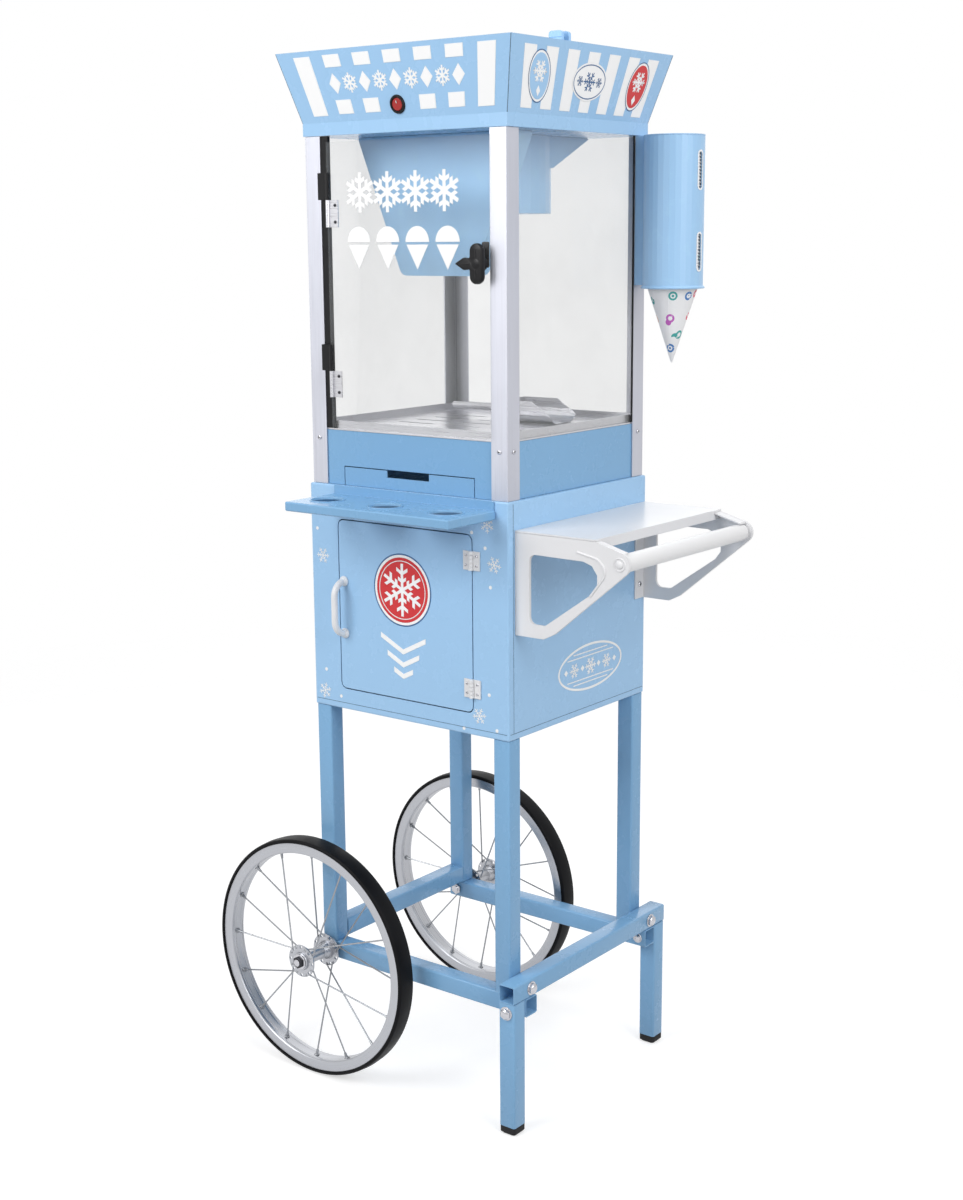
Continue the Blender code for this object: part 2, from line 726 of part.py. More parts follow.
def build_stand():
    """Side rail with its two short legs, welded in one, and the bolts that hold it to the frame."""
    left = FRAME_WIDTH / 2 + SEAT
    right = FRAME_WIDTH / 2 + TUBE
    reach = FRAME_DEPTH / 2 + TUBE
    inner = FRAME_DEPTH / 2 + SEAT
    under = RAIL_TOP + SEAT
    over = RAIL_TOP + TUBE
    outline = [(-reach, FOOT_HEIGHT), (-inner, FOOT_HEIGHT), (-inner, under), (inner, under),
               (inner, FOOT_HEIGHT), (reach, FOOT_HEIGHT), (reach, over), (-reach, over)]
    stand = slab("stand", outline, left, right, UPRIGHT_SIDE, BLUE)
    for sy in (-1, 1):
        near, far = sorted((sy * (inner + TUBE_WALL), sy * (reach - TUBE_WALL)))
        cut(stand, box("stand_leg_bore", (left + TUBE_WALL, near, -FOOT_HEIGHT),
                       (right - TUBE_WALL, far, RAIL_TOP)))
    cut(stand, box("stand_rail_bore", (left + TUBE_WALL, -reach - TUBE, under + TUBE_WALL),
                   (right - TUBE_WALL, reach + TUBE, over - TUBE_WALL)))
    high = RAIL_TOP + TUBE / 2
    low = CROSS_RAIL_HEIGHT + TUBE / 2
    bolt_x = FRAME_WIDTH / 2 + TUBE / 2
    rail_nut = FRAME_WIDTH / 2 - TUBE - SEAT
    inner_face = FRAME_DEPTH / 2 - TUBE - SEAT
    for sy in (-1, 1):
        join_bolt(stand, (right, sy * LEG_Y, high), (rail_nut, sy * LEG_Y, high), True, False)
    join_bolt(stand, (bolt_x, -reach, low), (bolt_x, -inner_face, low), True, False)
    join_bolt(stand, (bolt_x, inner_face, low), (bolt_x, reach, low), False, True)


def build_foot_caps():
    left = FRAME_WIDTH / 2 + SEAT
    right = FRAME_WIDTH / 2 + TUBE
    for depth, sy in (("front", -1), ("rear", 1)):
        near = FRAME_DEPTH / 2 + SEAT
        far = FRAME_DEPTH / 2 + TUBE
        low_y, high_y = sorted((sy * near, sy * far))
        cap = box(f"{depth}_foot_cap", (left, low_y, 0.0), (right, high_y, FOOT_HEIGHT - SEAT), RUBBER)
        bevel(cap, FOOT_EDGE, 2)
        inset = TUBE_WALL + SEAT
        join(cap, box("foot_plug", (left + inset, low_y + inset, FOOT_HEIGHT / 2),
                      (right - inset, high_y - inset, FOOT_HEIGHT + FOOT_PLUG)))


# Wheels

def wheel_rim(name, place, carrier):
    outer = WHEEL_RADIUS - TYRE_CROWN
    inner = outer - RIM_FACE
    well = outer - RIM_WELL
    half = RIM_WIDTH / 2
    seat = half - RIM_FLANGE
    profile = [(outer, half), (outer, seat), (well, seat), (well, -seat), (outer, -seat), (outer, -half),
               (inner, -seat), (inner, seat)]
    return turned(name, profile, place, Y_AXIS, STEEL, carrier, WHEEL_SIDES, closed=True)


def wheel_tyre(name, place, carrier):
    crown = WHEEL_RADIUS
    edge = WHEEL_RADIUS - TYRE_CROWN + SEAT
    base = WHEEL_RADIUS - TYRE_CROWN - RIM_WELL + SEAT
    half = TYRE_WIDTH / 2
    seat = RIM_WIDTH / 2 - RIM_FLANGE - SEAT
    profile = [(base, seat), (edge, seat), (edge, half), (crown, half - TYRE_SHOULDER),
               (crown, TYRE_SHOULDER - half), (edge, -half), (edge, -seat), (base, -seat)]
    return turned(name, profile, place, Y_AXIS, RUBBER, carrier, WHEEL_SIDES, closed=True)


def hub_profile():
    half = HUB_LENGTH / 2
    flange = HUB_FLANGE_SPREAD / 2
    gauge = HUB_FLANGE_GAUGE / 2
    bore = AXLE_RADIUS + PLAY
    upper = [(bore, half), (HUB_END_RADIUS, half), (HUB_END_RADIUS, flange + gauge),
             (HUB_FLANGE_RADIUS, flange + gauge), (HUB_FLANGE_RADIUS, flange - gauge),
             (HUB_END_RADIUS, flange - gauge), (HUB_BARREL_RADIUS, flange / 3)]
    lower = [(radius, -offset) for radius, offset in reversed(upper)]
    return upper + lower


def wire_wheel(name, place, carrier):
    """Hub, crossed spokes and rim. Each spoke leaves a flange off the radius, and its neighbour
    on that flange leans the other way."""
    wheel = wheel_rim(name, place, carrier)
    hub = turned(name + "_hub", hub_profile(), place, Y_AXIS, None, carrier, SMALL_SIDES, closed=True)
    join(wheel, hub)
    rim_reach = WHEEL_RADIUS - TYRE_CROWN - RIM_FACE + RIM_FLANGE
    hub_reach = HUB_FLANGE_RADIUS - SPOKE_HOLE_INSET
    for index in range(SPOKE_COUNT):
        at_rim = 2 * math.pi * index / SPOKE_COUNT
        flange = HUB_FLANGE_SPREAD / 2 * (1 if index % 2 == 0 else -1)
        lean = SPOKE_LEAD if index % 4 < 2 else -SPOKE_LEAD
        at_hub = at_rim + lean
        start = Vector(place) + Vector((hub_reach * math.cos(at_hub), flange, hub_reach * math.sin(at_hub)))
        end = Vector(place) + Vector((rim_reach * math.cos(at_rim), 0.0, rim_reach * math.sin(at_rim)))
        join(wheel, rod(f"{name}_spoke", start, end, SPOKE_RADIUS, None, carrier, SPOKE_SIDES))
    return wheel


def wheel_axle(name, side):
    """Axle bolt through the cross rail, with its inner head, spacer and outer nut in one."""
    z = CROSS_RAIL_HEIGHT + TUBE / 2
    inner = FRAME_DEPTH / 2 - TUBE - SEAT
    outer = FRAME_DEPTH / 2 + SEAT
    hub_in = WHEEL_Y - HUB_LENGTH / 2 - SEAT
    hub_out = WHEEL_Y + HUB_LENGTH / 2 + SEAT

    def at(distance):
        return (WHEEL_X, side * distance, z)

    nut = AXLE_NUT_RADIUS
    axle = rod(name, at(inner - AXLE_NUT_HEIGHT / 2), at(AXLE_END), AXLE_RADIUS, CHROME, sides=SMALL_SIDES)
    join(axle, rod(name + "_head", at(inner - AXLE_NUT_HEIGHT), at(inner), nut, sides=HEX_SIDES))
    join(axle, rod(name + "_spacer", at(outer), at(hub_in), nut, sides=SMALL_SIDES))
    join(axle, rod(name + "_nut", at(hub_out), at(hub_out + AXLE_NUT_HEIGHT), nut, sides=HEX_SIDES))


def build_wheels():
    for depth, side in (("front", -1), ("rear", 1)):
        place = (WHEEL_X, side * WHEEL_Y, CROSS_RAIL_HEIGHT + TUBE / 2)
        spin = pivot(f"{depth}_wheel_spin", place, CART)
        wire_wheel(f"{depth}_wheel", place, spin)
        wheel_tyre(f"{depth}_tyre", place, spin)
        wheel_axle(f"{depth}_axle", side)


# Storage cabinet

def door_outline(grow):
    """Outline of the storage door in (X, Z), grown or shrunk by a gap."""
    left = DOOR_LEFT - grow
    right = DOOR_RIGHT + grow
    low = DOOR_BOTTOM - grow
    high = DOOR_BOTTOM + DOOR_HEIGHT + grow
    radius = DOOR_CORNER + grow
    return rounded([(left, low, radius), (right, low, radius), (right, high, radius), (left, high, radius)])


def build_cabinet():
    front = -CABINET_Y
    cabinet = box("cabinet", (-CABINET_X, front, CABINET_FLOOR), (CABINET_X, CABINET_Y, CABINET_TOP), BLUE)
    bevel(cabinet, CABINET_EDGE, 2)
    cut(cabinet, box("cabinet_inside", (-CABINET_X + SHEET, front + SHEET, CABINET_FLOOR + SHEET),
                     (CABINET_X - SHEET, CABINET_Y - SHEET, CABINET_TOP - SHEET)))
    cut(cabinet, slab("cabinet_doorway", door_outline(DOOR_GAP), front - TUBE, front + TUBE, UPRIGHT_FRONT))


def build_storage_door(carrier):
    front = -CABINET_Y
    door = slab("storage_door", door_outline(0.0), front, front + DOOR_DEPTH, UPRIGHT_FRONT, BLUE, carrier)
    cut(door, slab("door_back", door_outline(-SHEET), front + SHEET, front + 2 * DOOR_DEPTH,
                   UPRIGHT_FRONT, None, carrier))


def build_door_pull(carrier):
    """D-shaped pull: a bow between two round feet on the door."""
    x = DOOR_LEFT + PULL_INSET
    face = -CABINET_Y - SEAT
    foot = face - PULL_FOOT_HEIGHT
    start = face - PULL_FOOT_HEIGHT / 2
    reach = face - PULL_REACH + PULL_RADIUS
    low = DOOR_BOTTOM + PULL_LOW
    high = low + PULL_LENGTH
    bow = rounded([(start, low, 0), (reach, low, PULL_BEND), (reach, high, PULL_BEND), (start, high, 0)],
                  PULL_BEND_STEPS)
    pull = wire("door_pull", [(x, y, z) for y, z in bow], PULL_RADIUS, WHITE, carrier)
    for z in (low, high):
        join(pull, rod("pull_foot", (x, face, z), (x, foot, z), PULL_FOOT_RADIUS, None, carrier, SMALL_SIDES))


def knuckle_spans(low, height, count):
    pitch = height / count
    return [(low + pitch * index, low + pitch * (index + 1)) for index in range(count)]


def butt_hinge(level, low, door_carrier):
    """Two leaves whose knuckles alternate on one pin. The cabinet leaf holds the pin."""
    axis_x = DOOR_RIGHT + DOOR_GAP / 2
    face = -CABINET_Y - SEAT
    high = low + HINGE_HEIGHT

    def along_pin(start, end, radius, name, carrier, sides):
        return rod(name, (axis_x, HINGE_Y, start), (axis_x, HINGE_Y, end), radius, None, carrier, sides)

    for owner, sx, carrier, parity in (("cabinet", 1, CART, 0), ("door", -1, door_carrier, 1)):
        near, far = sorted((axis_x + sx * SEAT, axis_x + sx * HINGE_LEAF_WIDTH))
        leaf = box(f"{level}_hinge_{owner}_leaf", (near, face - HINGE_GAUGE, low), (far, face, high), WHITE,
                   carrier)
        for index, (start, end) in enumerate(knuckle_spans(low, HINGE_HEIGHT, HINGE_KNUCKLES)):
            grow = SEAT / 2
            if index % 2 == parity:
                join(leaf, along_pin(start + grow, end - grow, HINGE_KNUCKLE, "knuckle", carrier,
                                     SMALL_SIDES))
            else:
                cut(leaf, along_pin(start - grow, end + grow, HINGE_KNUCKLE + SEAT, "knuckle_room", carrier,
                                    SMALL_SIDES))
        if owner == "cabinet":
            join(leaf, along_pin(low + SEAT, high - SEAT, HINGE_PIN, "hinge_pin", carrier, BOLT_SIDES))
        else:
            cut(leaf, along_pin(low - SEAT, high + SEAT, HINGE_PIN + PLAY, "pin_bore", carrier, BOLT_SIDES))


def build_storage():
    build_cabinet()
    place = (DOOR_RIGHT + DOOR_GAP / 2, HINGE_Y, DOOR_BOTTOM + DOOR_HEIGHT / 2)
    swing = pivot("storage_door_hinge", place, CART)
    build_storage_door(swing)
    build_door_pull(swing)
    butt_hinge("lower", DOOR_BOTTOM + HINGE_INSET, swing)
    butt_hinge("upper", DOOR_BOTTOM + DOOR_HEIGHT - HINGE_INSET - HINGE_HEIGHT, swing)


# Front cone rack

def build_cone_rack():
    left = RACK_CENTRE - RACK_WIDTH / 2
    right = RACK_CENTRE + RACK_WIDTH / 2
    back = -CABINET_Y - SEAT
    front = back - RACK_REACH
    rack = box("cone_rack", (left, front, RACK_TOP - RACK_LIP), (right, back, RACK_TOP), BLUE)
    bevel(rack, RACK_EDGE, 1)
    cut(rack, box("rack_underside", (left + RACK_GAUGE, front + RACK_GAUGE, RACK_TOP - 2 * RACK_LIP),
                  (right - RACK_GAUGE, back - RACK_GAUGE, RACK_TOP - RACK_GAUGE)))
    join(rack, box("rack_flange", (left + RACK_GAUGE, back - RACK_GAUGE, RACK_TOP - RACK_LIP / 2),
                   (right - RACK_GAUGE, back, CABINET_TOP)))
    for index in range(RACK_HOLES):
        x = RACK_CENTRE + RACK_HOLE_PITCH * (index - (RACK_HOLES - 1) / 2)
        y = back - RACK_HOLE_REACH
        cut(rack, rod("rack_hole", (x, y, RACK_TOP - 2 * RACK_LIP), (x, y, RACK_TOP + RACK_LIP),
                      RACK_HOLE_RADIUS))


# Kiosk

def build_kiosk_base():
    base = box("kiosk_base", (-BASE_X, -BASE_Y, CABINET_TOP + SEAT), (BASE_X, BASE_Y, BASE_TOP), BLUE)
    cut(base, box("base_inside", (-BASE_X + SHEET, -BASE_Y + SHEET, CABINET_TOP - TUBE),
                  (BASE_X - SHEET, BASE_Y - SHEET, BASE_TOP + TUBE)))
    half = DRAWER_WIDTH / 2 + DRAWER_PLAY
    cut(base, box("drawer_slot", (-half, -BASE_Y - TUBE, CABINET_TOP - TUBE),
                  (half, -BASE_Y + TUBE, CABINET_TOP + SEAT + DRAWER_HEIGHT + DRAWER_PLAY)))


def build_drip_drawer():
    front = -BASE_Y
    low = CABINET_TOP + SEAT
    slide = pivot("drip_drawer_slide", (0.0, front, low), CART)
    half = DRAWER_WIDTH / 2
    high = low + DRAWER_HEIGHT
    drawer = box("drip_drawer", (-half, front, low), (half, front + DRAWER_LENGTH, high), BLUE, slide)
    cut(drawer, box("drawer_inside", (-half + DRAWER_WALL, front + DRAWER_WALL, low + DRAWER_WALL),
                    (half - DRAWER_WALL, front + DRAWER_LENGTH - DRAWER_WALL, high + DRAWER_HEIGHT), None,
                    slide))
    cut(drawer, box("drawer_grip", (-DRAWER_GRIP_WIDTH / 2, front - DRAWER_WALL, high - DRAWER_GRIP_DROP),
                    (DRAWER_GRIP_WIDTH / 2, front + 2 * DRAWER_WALL, high + DRAWER_HEIGHT), None, slide))


def build_ice_deck():
    low = BASE_TOP + SEAT
    deck = box("ice_deck", (-BASE_X, -BASE_Y, low), (BASE_X, BASE_Y, DECK_TOP), STEEL)
    rim_x = BASE_X - PANE_GAUGE - 2 * SEAT
    rim_y = BASE_Y - PANE_GAUGE - 2 * SEAT
    rim = box("deck_rim", (-rim_x, -rim_y, low), (rim_x, rim_y, DECK_TOP + DECK_RIM))
    join(deck, rim)
    cut(deck, box("deck_well", (-rim_x + SHEET, -rim_y + SHEET, DECK_TOP),
                  (rim_x - SHEET, rim_y - SHEET, DECK_TOP + 2 * DECK_RIM)))
    for column in range(DECK_SLOT_COLUMNS):
        for row in range(DECK_SLOT_ROWS):
            x = DECK_SLOT_PITCH_X * (column - (DECK_SLOT_COLUMNS - 1) / 2)
            y = DECK_SLOT_PITCH_Y * (row - (DECK_SLOT_ROWS - 1) / 2)
            cut(deck, box("deck_slot", (x - DECK_SLOT_LENGTH / 2, y - DECK_SLOT_WIDTH / 2, low - DECK_RIM),
                          (x + DECK_SLOT_LENGTH / 2, y + DECK_SLOT_WIDTH / 2, DECK_TOP + DECK_RIM / 2)))


def build_posts():
    for side, sx in (("left", -1), ("right", 1)):
        for depth, sy in (("front", -1), ("rear", 1)):
            x, y = sx * POST_X, sy * POST_Y
            inner_x, inner_y = x - sx * POST_GAUGE, y - sy * POST_GAUGE
            end_x, end_y = x - sx * POST_FLANGE, y - sy * POST_FLANGE
            angle = [(x, y), (end_x, y), (end_x, inner_y), (inner_x, inner_y), (inner_x, end_y), (x, end_y)]
            slab(f"{depth}_{side}_post", angle, CABINET_TOP + SEAT, POST_TOP, FLAT, ALUMINIUM)


def build_panes():
    outer_x = BASE_X
    outer_y = BASE_Y
    inner_x = outer_x - PANE_GAUGE
    inner_y = outer_y - PANE_GAUGE
    for side, low_x, high_x in (("left", -outer_x, -inner_x), ("right", inner_x, outer_x)):
        box(f"{side}_pane", (low_x, -outer_y, PANE_BOTTOM), (high_x, outer_y, PANE_TOP), GLASS)
    box("back_pane", (-inner_x + SEAT, inner_y, PANE_BOTTOM), (inner_x - SEAT, outer_y, PANE_TOP), GLASS)


def glass_hinge_spans():
    """Lower ends of the two glass door hinges."""
    low = GLASS_DOOR_LOW + GLASS_HINGE_OFFSET
    high = GLASS_DOOR_LOW + GLASS_DOOR_HEIGHT - GLASS_HINGE_OFFSET + STRIP_MARGIN - GLASS_HINGE_HEIGHT
    return (("lower", low), ("upper", high))


def build_hinge_strip():
    """Dark strip beside the left post. It carries the fixed upper half and pin of each hinge."""
    left = -POST_X + POST_FLANGE + SEAT
    right = GLASS_DOOR_LEFT - STRIP_MARGIN
    front = -POST_Y + STRIP_SETBACK
    core = front + STRIP_DEPTH / 2
    x, y = GLASS_HINGE_X, GLASS_HINGE_Y
    arm_left = left + STRIP_MARGIN
    arm_front = y - GLASS_HINGE_GAUGE / 2
    arm_back = arm_front + GLASS_HINGE_GAUGE
    arm = [(arm_left, core), (arm_left, arm_front), (x, arm_front), (x, arm_back),
           (arm_left + GLASS_HINGE_GAUGE, arm_back), (arm_left + GLASS_HINGE_GAUGE, core)]
    strip = box("hinge_strip", (left, front, PANE_BOTTOM), (right, front + STRIP_DEPTH, PANE_TOP), BLACK)
    for level, low in glass_hinge_spans():
        middle = low + GLASS_HINGE_HEIGHT / 2 + SEAT
        high = low + GLASS_HINGE_HEIGHT
        join(strip, slab("hinge_arm", arm, middle, high, FLAT))
        join(strip, rod("hinge_barrel", (x, y, middle), (x, y, high + SEAT), GLASS_HINGE_RADIUS - SEAT,
                        sides=SMALL_SIDES))
        join(strip, rod("hinge_pin", (x, y, low + SEAT), (x, y, high - SEAT), GLASS_HINGE_PIN,
                        sides=SMALL_SIDES))


def build_glass_door():
    x, y = GLASS_HINGE_X, GLASS_HINGE_Y
    high = GLASS_DOOR_LOW + GLASS_DOOR_HEIGHT
    back = -POST_Y - SEAT
    leaf_face = GLASS_DOOR_FRONT - SEAT
    swing = pivot("glass_door_hinge", (x, y, GLASS_DOOR_LOW + GLASS_DOOR_HEIGHT / 2), CART)
    door = box("glass_door", (GLASS_DOOR_LEFT, GLASS_DOOR_FRONT, GLASS_DOOR_LOW),
               (GLASS_DOOR_RIGHT, back, high), GLASS, swing)
    cut(door, rod("knob_hole", (KNOB_X, GLASS_DOOR_FRONT - TUBE, KNOB_Z), (KNOB_X, back + TUBE, KNOB_Z),
                  KNOB_SHAFT_RADIUS + PLAY, None, swing, SHAFT_SIDES))
    for level, low in glass_hinge_spans():
        middle = low + GLASS_HINGE_HEIGHT / 2
        leaf = rod(f"{level}_glass_hinge", (x, y, low), (x, y, middle), GLASS_HINGE_RADIUS - SEAT, STEEL,
                   swing, SHAFT_SIDES)
        join(leaf, box("hinge_leaf", (x, leaf_face - GLASS_HINGE_GAUGE, low),
                       (x + GLASS_HINGE_LEAF, leaf_face, middle), None, swing))
        cut(leaf, rod("hinge_bore", (x, y, low - SEAT), (x, y, middle + SEAT), GLASS_HINGE_PIN + PLAY, None,
                      swing, SMALL_SIDES))
    build_latch_knob(swing)


def knob_outline():
    """Three-armed knob in (X, Z): a lobe up, a lobe down and a point to the left."""
    half = KNOB_LOBE_WIDTH / 2
    lobe = KNOB_LOBE_LENGTH - half
    lean = KNOB_LOBE_LEAN
    lower = arc((0.0, -lobe), half, 180 + lean, 360 - lean, KNOB_LOBE_STEPS)
    upper = arc((0.0, lobe), half, lean, 180 - lean, KNOB_LOBE_STEPS)
    corners = [(-half, -KNOB_NECK_HALF, KNOB_NECK_ROUND)]
    corners += [(x, z, 0) for x, z in lower + upper]
    corners += [(-half, KNOB_NECK_HALF, KNOB_NECK_ROUND),
                (-KNOB_POINT_BASE, KNOB_POINT_HALF, KNOB_SHOULDER_ROUND),
                (-KNOB_POINT_LENGTH, 0.0, KNOB_POINT_ROUND),
                (-KNOB_POINT_BASE, -KNOB_POINT_HALF, KNOB_SHOULDER_ROUND)]
    return [(KNOB_X + x, KNOB_Z + z) for x, z in rounded(corners, 3)]


def build_latch_knob(door):
    face = GLASS_DOOR_FRONT - SEAT
    front = face - KNOB_THICKNESS
    middle = face - KNOB_THICKNESS / 2
    behind = -POST_Y + POST_GAUGE + SEAT
    turn = pivot("latch_knob_turn", (KNOB_X, GLASS_DOOR_FRONT, KNOB_Z), door)
    knob = slab("latch_knob", knob_outline(), front, face - KNOB_STANDOFF, UPRIGHT_FRONT, BLACK, turn)
    join(knob, rod("knob_collar", (KNOB_X, face, KNOB_Z), (KNOB_X, middle, KNOB_Z), KNOB_HUB_RADIUS, None,
                   turn, SMALL_SIDES))
    join(knob, rod("knob_shaft", (KNOB_X, middle, KNOB_Z), (KNOB_X, behind + CAM_GAUGE, KNOB_Z),
                   KNOB_SHAFT_RADIUS, None, turn, SMALL_SIDES))
    join(knob, box("knob_cam", (KNOB_X - CAM_WIDTH / 2, behind, KNOB_Z - CAM_WIDTH / 2),
                   (KNOB_X + CAM_WIDTH / 2, behind + CAM_GAUGE, KNOB_Z + CAM_LENGTH), None, turn))


# Header

def header_half(z):
    """Outer half width and half depth of the header at a height."""
    flare = max(0.0, z - HEADER_BOTTOM - HEADER_BAND) * HEADER_FLARE / HEADER_RISE
    return HEADER_X + flare, HEADER_Y + flare


def header_block(name, bottom, inset, material=None):
    """Solid of the header's form: an upright band, then four flared faces."""
    bm = bmesh.new()
    bmesh.ops.create_cube(bm, size=1.0)
    half_x, half_y = HEADER_X - inset, HEADER_Y - inset
    knee = HEADER_BOTTOM + HEADER_BAND
    bmesh.ops.scale(bm, vec=(2 * half_x, 2 * half_y, knee - bottom), verts=bm.verts)
    bmesh.ops.translate(bm, vec=(0, 0, (knee + bottom) / 2), verts=bm.verts)
    bm.faces.ensure_lookup_table()
    top = max(bm.faces, key=lambda face: face.calc_center_median().z)
    grown = bmesh.ops.extrude_face_region(bm, geom=[top])
    bmesh.ops.delete(bm, geom=[top], context="FACES_ONLY")
    rim = [item for item in grown["geom"] if isinstance(item, bmesh.types.BMVert)]
    rise = HEADER_RISE if material is not None else HEADER_RISE + TUBE
    flare = HEADER_FLARE * rise / HEADER_RISE
    for vert in rim:
        vert.co.x += math.copysign(flare, vert.co.x)
        vert.co.y += math.copysign(flare, vert.co.y)
        vert.co.z += rise
    bmesh.ops.recalc_face_normals(bm, faces=bm.faces)
    return solid(name, bm, material)


def build_header_shell():
    """Open pan with flared walls, whose floor is the kiosk's ceiling."""
    shell = header_block("header_shell", HEADER_BOTTOM, 0.0, BLUE)
    cut(shell, header_block("header_inside", HEADER_FLOOR, SHEET))
    cut(shell, rod("ceiling_shaft_hole", (0, HOPPER_SETBACK, HEADER_BOTTOM - TUBE),
                   (0, HOPPER_SETBACK, HEADER_FLOOR + TUBE), ROTOR_HUB_RADIUS))
    half = SPOUT_WIDTH / 2 - SHEET
    cut(shell, box("ceiling_chute_hole", (-half, SPOUT_FRONT + SHEET, HEADER_BOTTOM - TUBE / 2),
                   (half, CHUTE_BACK - SHEET, HEADER_FLOOR + TUBE / 2)))
    centre, outward = face_frame(-1, SWITCH_HEIGHT)
    cut(shell, rod("switch_hole", centre - outward * TUBE, centre + outward * TUBE,
                   SWITCH_BARREL_RADIUS + SEAT))
    build_inlet(shell)


def face_frame(side, rise):
    """Point and outward normal on the flared front (-1) or back (+1) face, at a height above the band."""
    z = HEADER_BOTTOM + HEADER_BAND + rise
    y = side * header_half(z)[1]
    outward = Vector((0.0, side * math.cos(HEADER_TILT), -math.sin(HEADER_TILT)))
    return Vector((0.0, y, z)), outward


def build_switch():
    centre, outward = face_frame(-1, SWITCH_HEIGHT)
    seat = centre + outward * SEAT
    gauge = SWITCH_FLANGE_GAUGE
    floor = SHEET - SWITCH_DEPTH
    profile = [(SWITCH_BORE_RADIUS, gauge), (SWITCH_FLANGE_RADIUS - SWITCH_CHAMFER, gauge),
               (SWITCH_FLANGE_RADIUS, 0.0), (SWITCH_BARREL_RADIUS, 0.0),
               (SWITCH_BARREL_RADIUS, -SWITCH_DEPTH),
               (0.0, -SWITCH_DEPTH), (0.0, floor), (SWITCH_BORE_RADIUS, floor)]
    turned("switch_bezel", profile, seat, outward, BLACK, None, ROUND_SIDES, closed=True)
    pivot_place = seat - outward * ROCKER_PIVOT
    tilt = pivot("rocker_tilt", pivot_place, CART)
    leaning = Matrix.Rotation(ROCKER_REST, 4, "X") @ outward
    half = leaning * ROCKER_HEIGHT / 2
    rocker = rod("switch_rocker", pivot_place - half, pivot_place + half, ROCKER_RADIUS, RED, tilt)
    bevel(rocker, ROCKER_EDGE, 1, 60)


def build_inlet(shell):
    """Recessed power inlet in the header's back face."""
    centre, outward = face_frame(1, INLET_RISE)
    frame = Matrix((X_AXIS, outward.cross(X_AXIS), outward)).transposed().to_4x4()
    centre = centre + X_AXIS * INLET_OFFSET

    def block(name, half_width, half_height, back, front, material=None):
        bm = bmesh.new()
        bmesh.ops.create_cube(bm, size=1.0)
        bmesh.ops.scale(bm, vec=(2 * half_width, 2 * half_height, front - back), verts=bm.verts)
        bmesh.ops.translate(bm, vec=(0, 0, (front + back) / 2), verts=bm.verts)
        bmesh.ops.transform(bm, matrix=frame, verts=bm.verts)
        return solid(name, bm, material, None, centre)

    half_width, half_height = INLET_WIDTH / 2, INLET_HEIGHT / 2
    cut(shell, block("inlet_hole", half_width + SEAT, half_height + SEAT, -TUBE, TUBE))
    inlet = block("power_inlet", half_width, half_height, -INLET_DEPTH, SHEET, BLACK)
    rim = INLET_FLANGE
    join(inlet, block("inlet_flange", half_width + rim, half_height + rim, SEAT, SHEET + SEAT))
    cut(inlet, block("inlet_socket", half_width - SHEET, half_height - SHEET, -INLET_DEPTH + SHEET,
                     INLET_DEPTH))


def build_header_top():
    """Top plate with the hopper's hole, and the two-cheeked block that the lid hinges on."""
    low = TOP_PLATE_TOP - SHEET
    half_x, half_y = header_half(low)
    inset = SHEET / math.cos(HEADER_TILT) + SEAT
    end_x = half_x - inset
    end_y = half_y - inset
    plate = box("header_top", (-end_x, -end_y, low), (end_x, end_y, TOP_PLATE_TOP), BLUE)
    cut(plate, rod("hopper_hole", (0, HOPPER_SETBACK, low - TUBE), (0, HOPPER_SETBACK, TOP_PLATE_TOP + TUBE),
                   HOPPER_RADIUS + SEAT, sides=FINE_SIDES))
    gap = LID_TONGUE_WIDTH / 2 + SEAT
    start = LID_PIVOT_X - LID_BLOCK_LENGTH / 2
    end = LID_PIVOT_X + LID_BLOCK_LENGTH / 2
    root = TOP_PLATE_TOP - SHEET / 2
    head = LID_BOTTOM + LID_HEIGHT
    cheek = rounded([(start, root, 0), (end, root, 0), (end, head, LID_BLOCK_ROUND),
                     (start, head, LID_BLOCK_ROUND)])
    for sy in (-1, 1):
        near, far = sorted((sy * gap, sy * (gap + LID_CHEEK)))
        join(plate, slab("lid_cheek", cheek, near, far, UPRIGHT_FRONT))
    reach = gap + LID_CHEEK / 2
    join(plate, rod("lid_pin", (LID_PIVOT_X, -reach, LID_PIVOT_Z), (LID_PIVOT_X, reach, LID_PIVOT_Z),
                    LID_PIN_RADIUS, sides=SMALL_SIDES))


def build_lid():
    """Low domed lid with a short rim, and the tongue that its hinge pin runs through."""
    swing = pivot("hopper_lid_hinge", (LID_PIVOT_X, 0.0, LID_PIVOT_Z), CART)
    inner = LID_RADIUS - LID_WALL
    upper = dome(LID_RADIUS - LID_EDGE, LID_RIM_HEIGHT, LID_HEIGHT, 4)
    under = dome(inner, LID_RIM_HEIGHT - LID_WALL, LID_HEIGHT - LID_WALL, 3)
    rim = [(LID_RADIUS, LID_RIM_HEIGHT - LID_EDGE), (LID_RADIUS, 0.0), (inner, 0.0)]
    profile = [*upper, *rim, *reversed(under)]
    lid = turned("hopper_lid", profile, (0, 0, LID_BOTTOM), Z_AXIS, BLUE, swing, FINE_SIDES)
    root = LID_RADIUS - LID_TONGUE_ROOT
    end = LID_PIVOT_X + LID_TONGUE_REACH
    low = LID_PIVOT_Z - LID_TONGUE_HALF
    high = LID_PIVOT_Z + LID_TONGUE_HALF
    bend = LID_TONGUE_ROUND
    tongue = rounded([(root, low, 0), (end, low, bend), (end, high, bend), (root, high, 0)])
    half = LID_TONGUE_WIDTH / 2
    join(lid, slab("lid_tongue", tongue, -half, half, UPRIGHT_FRONT, None, swing))
    cut(lid, rod("lid_tongue_bore", (LID_PIVOT_X, -TUBE, LID_PIVOT_Z), (LID_PIVOT_X, TUBE, LID_PIVOT_Z),
                 LID_PIN_RADIUS + PLAY, None, swing, SMALL_SIDES))


# Ice hopper and shaver

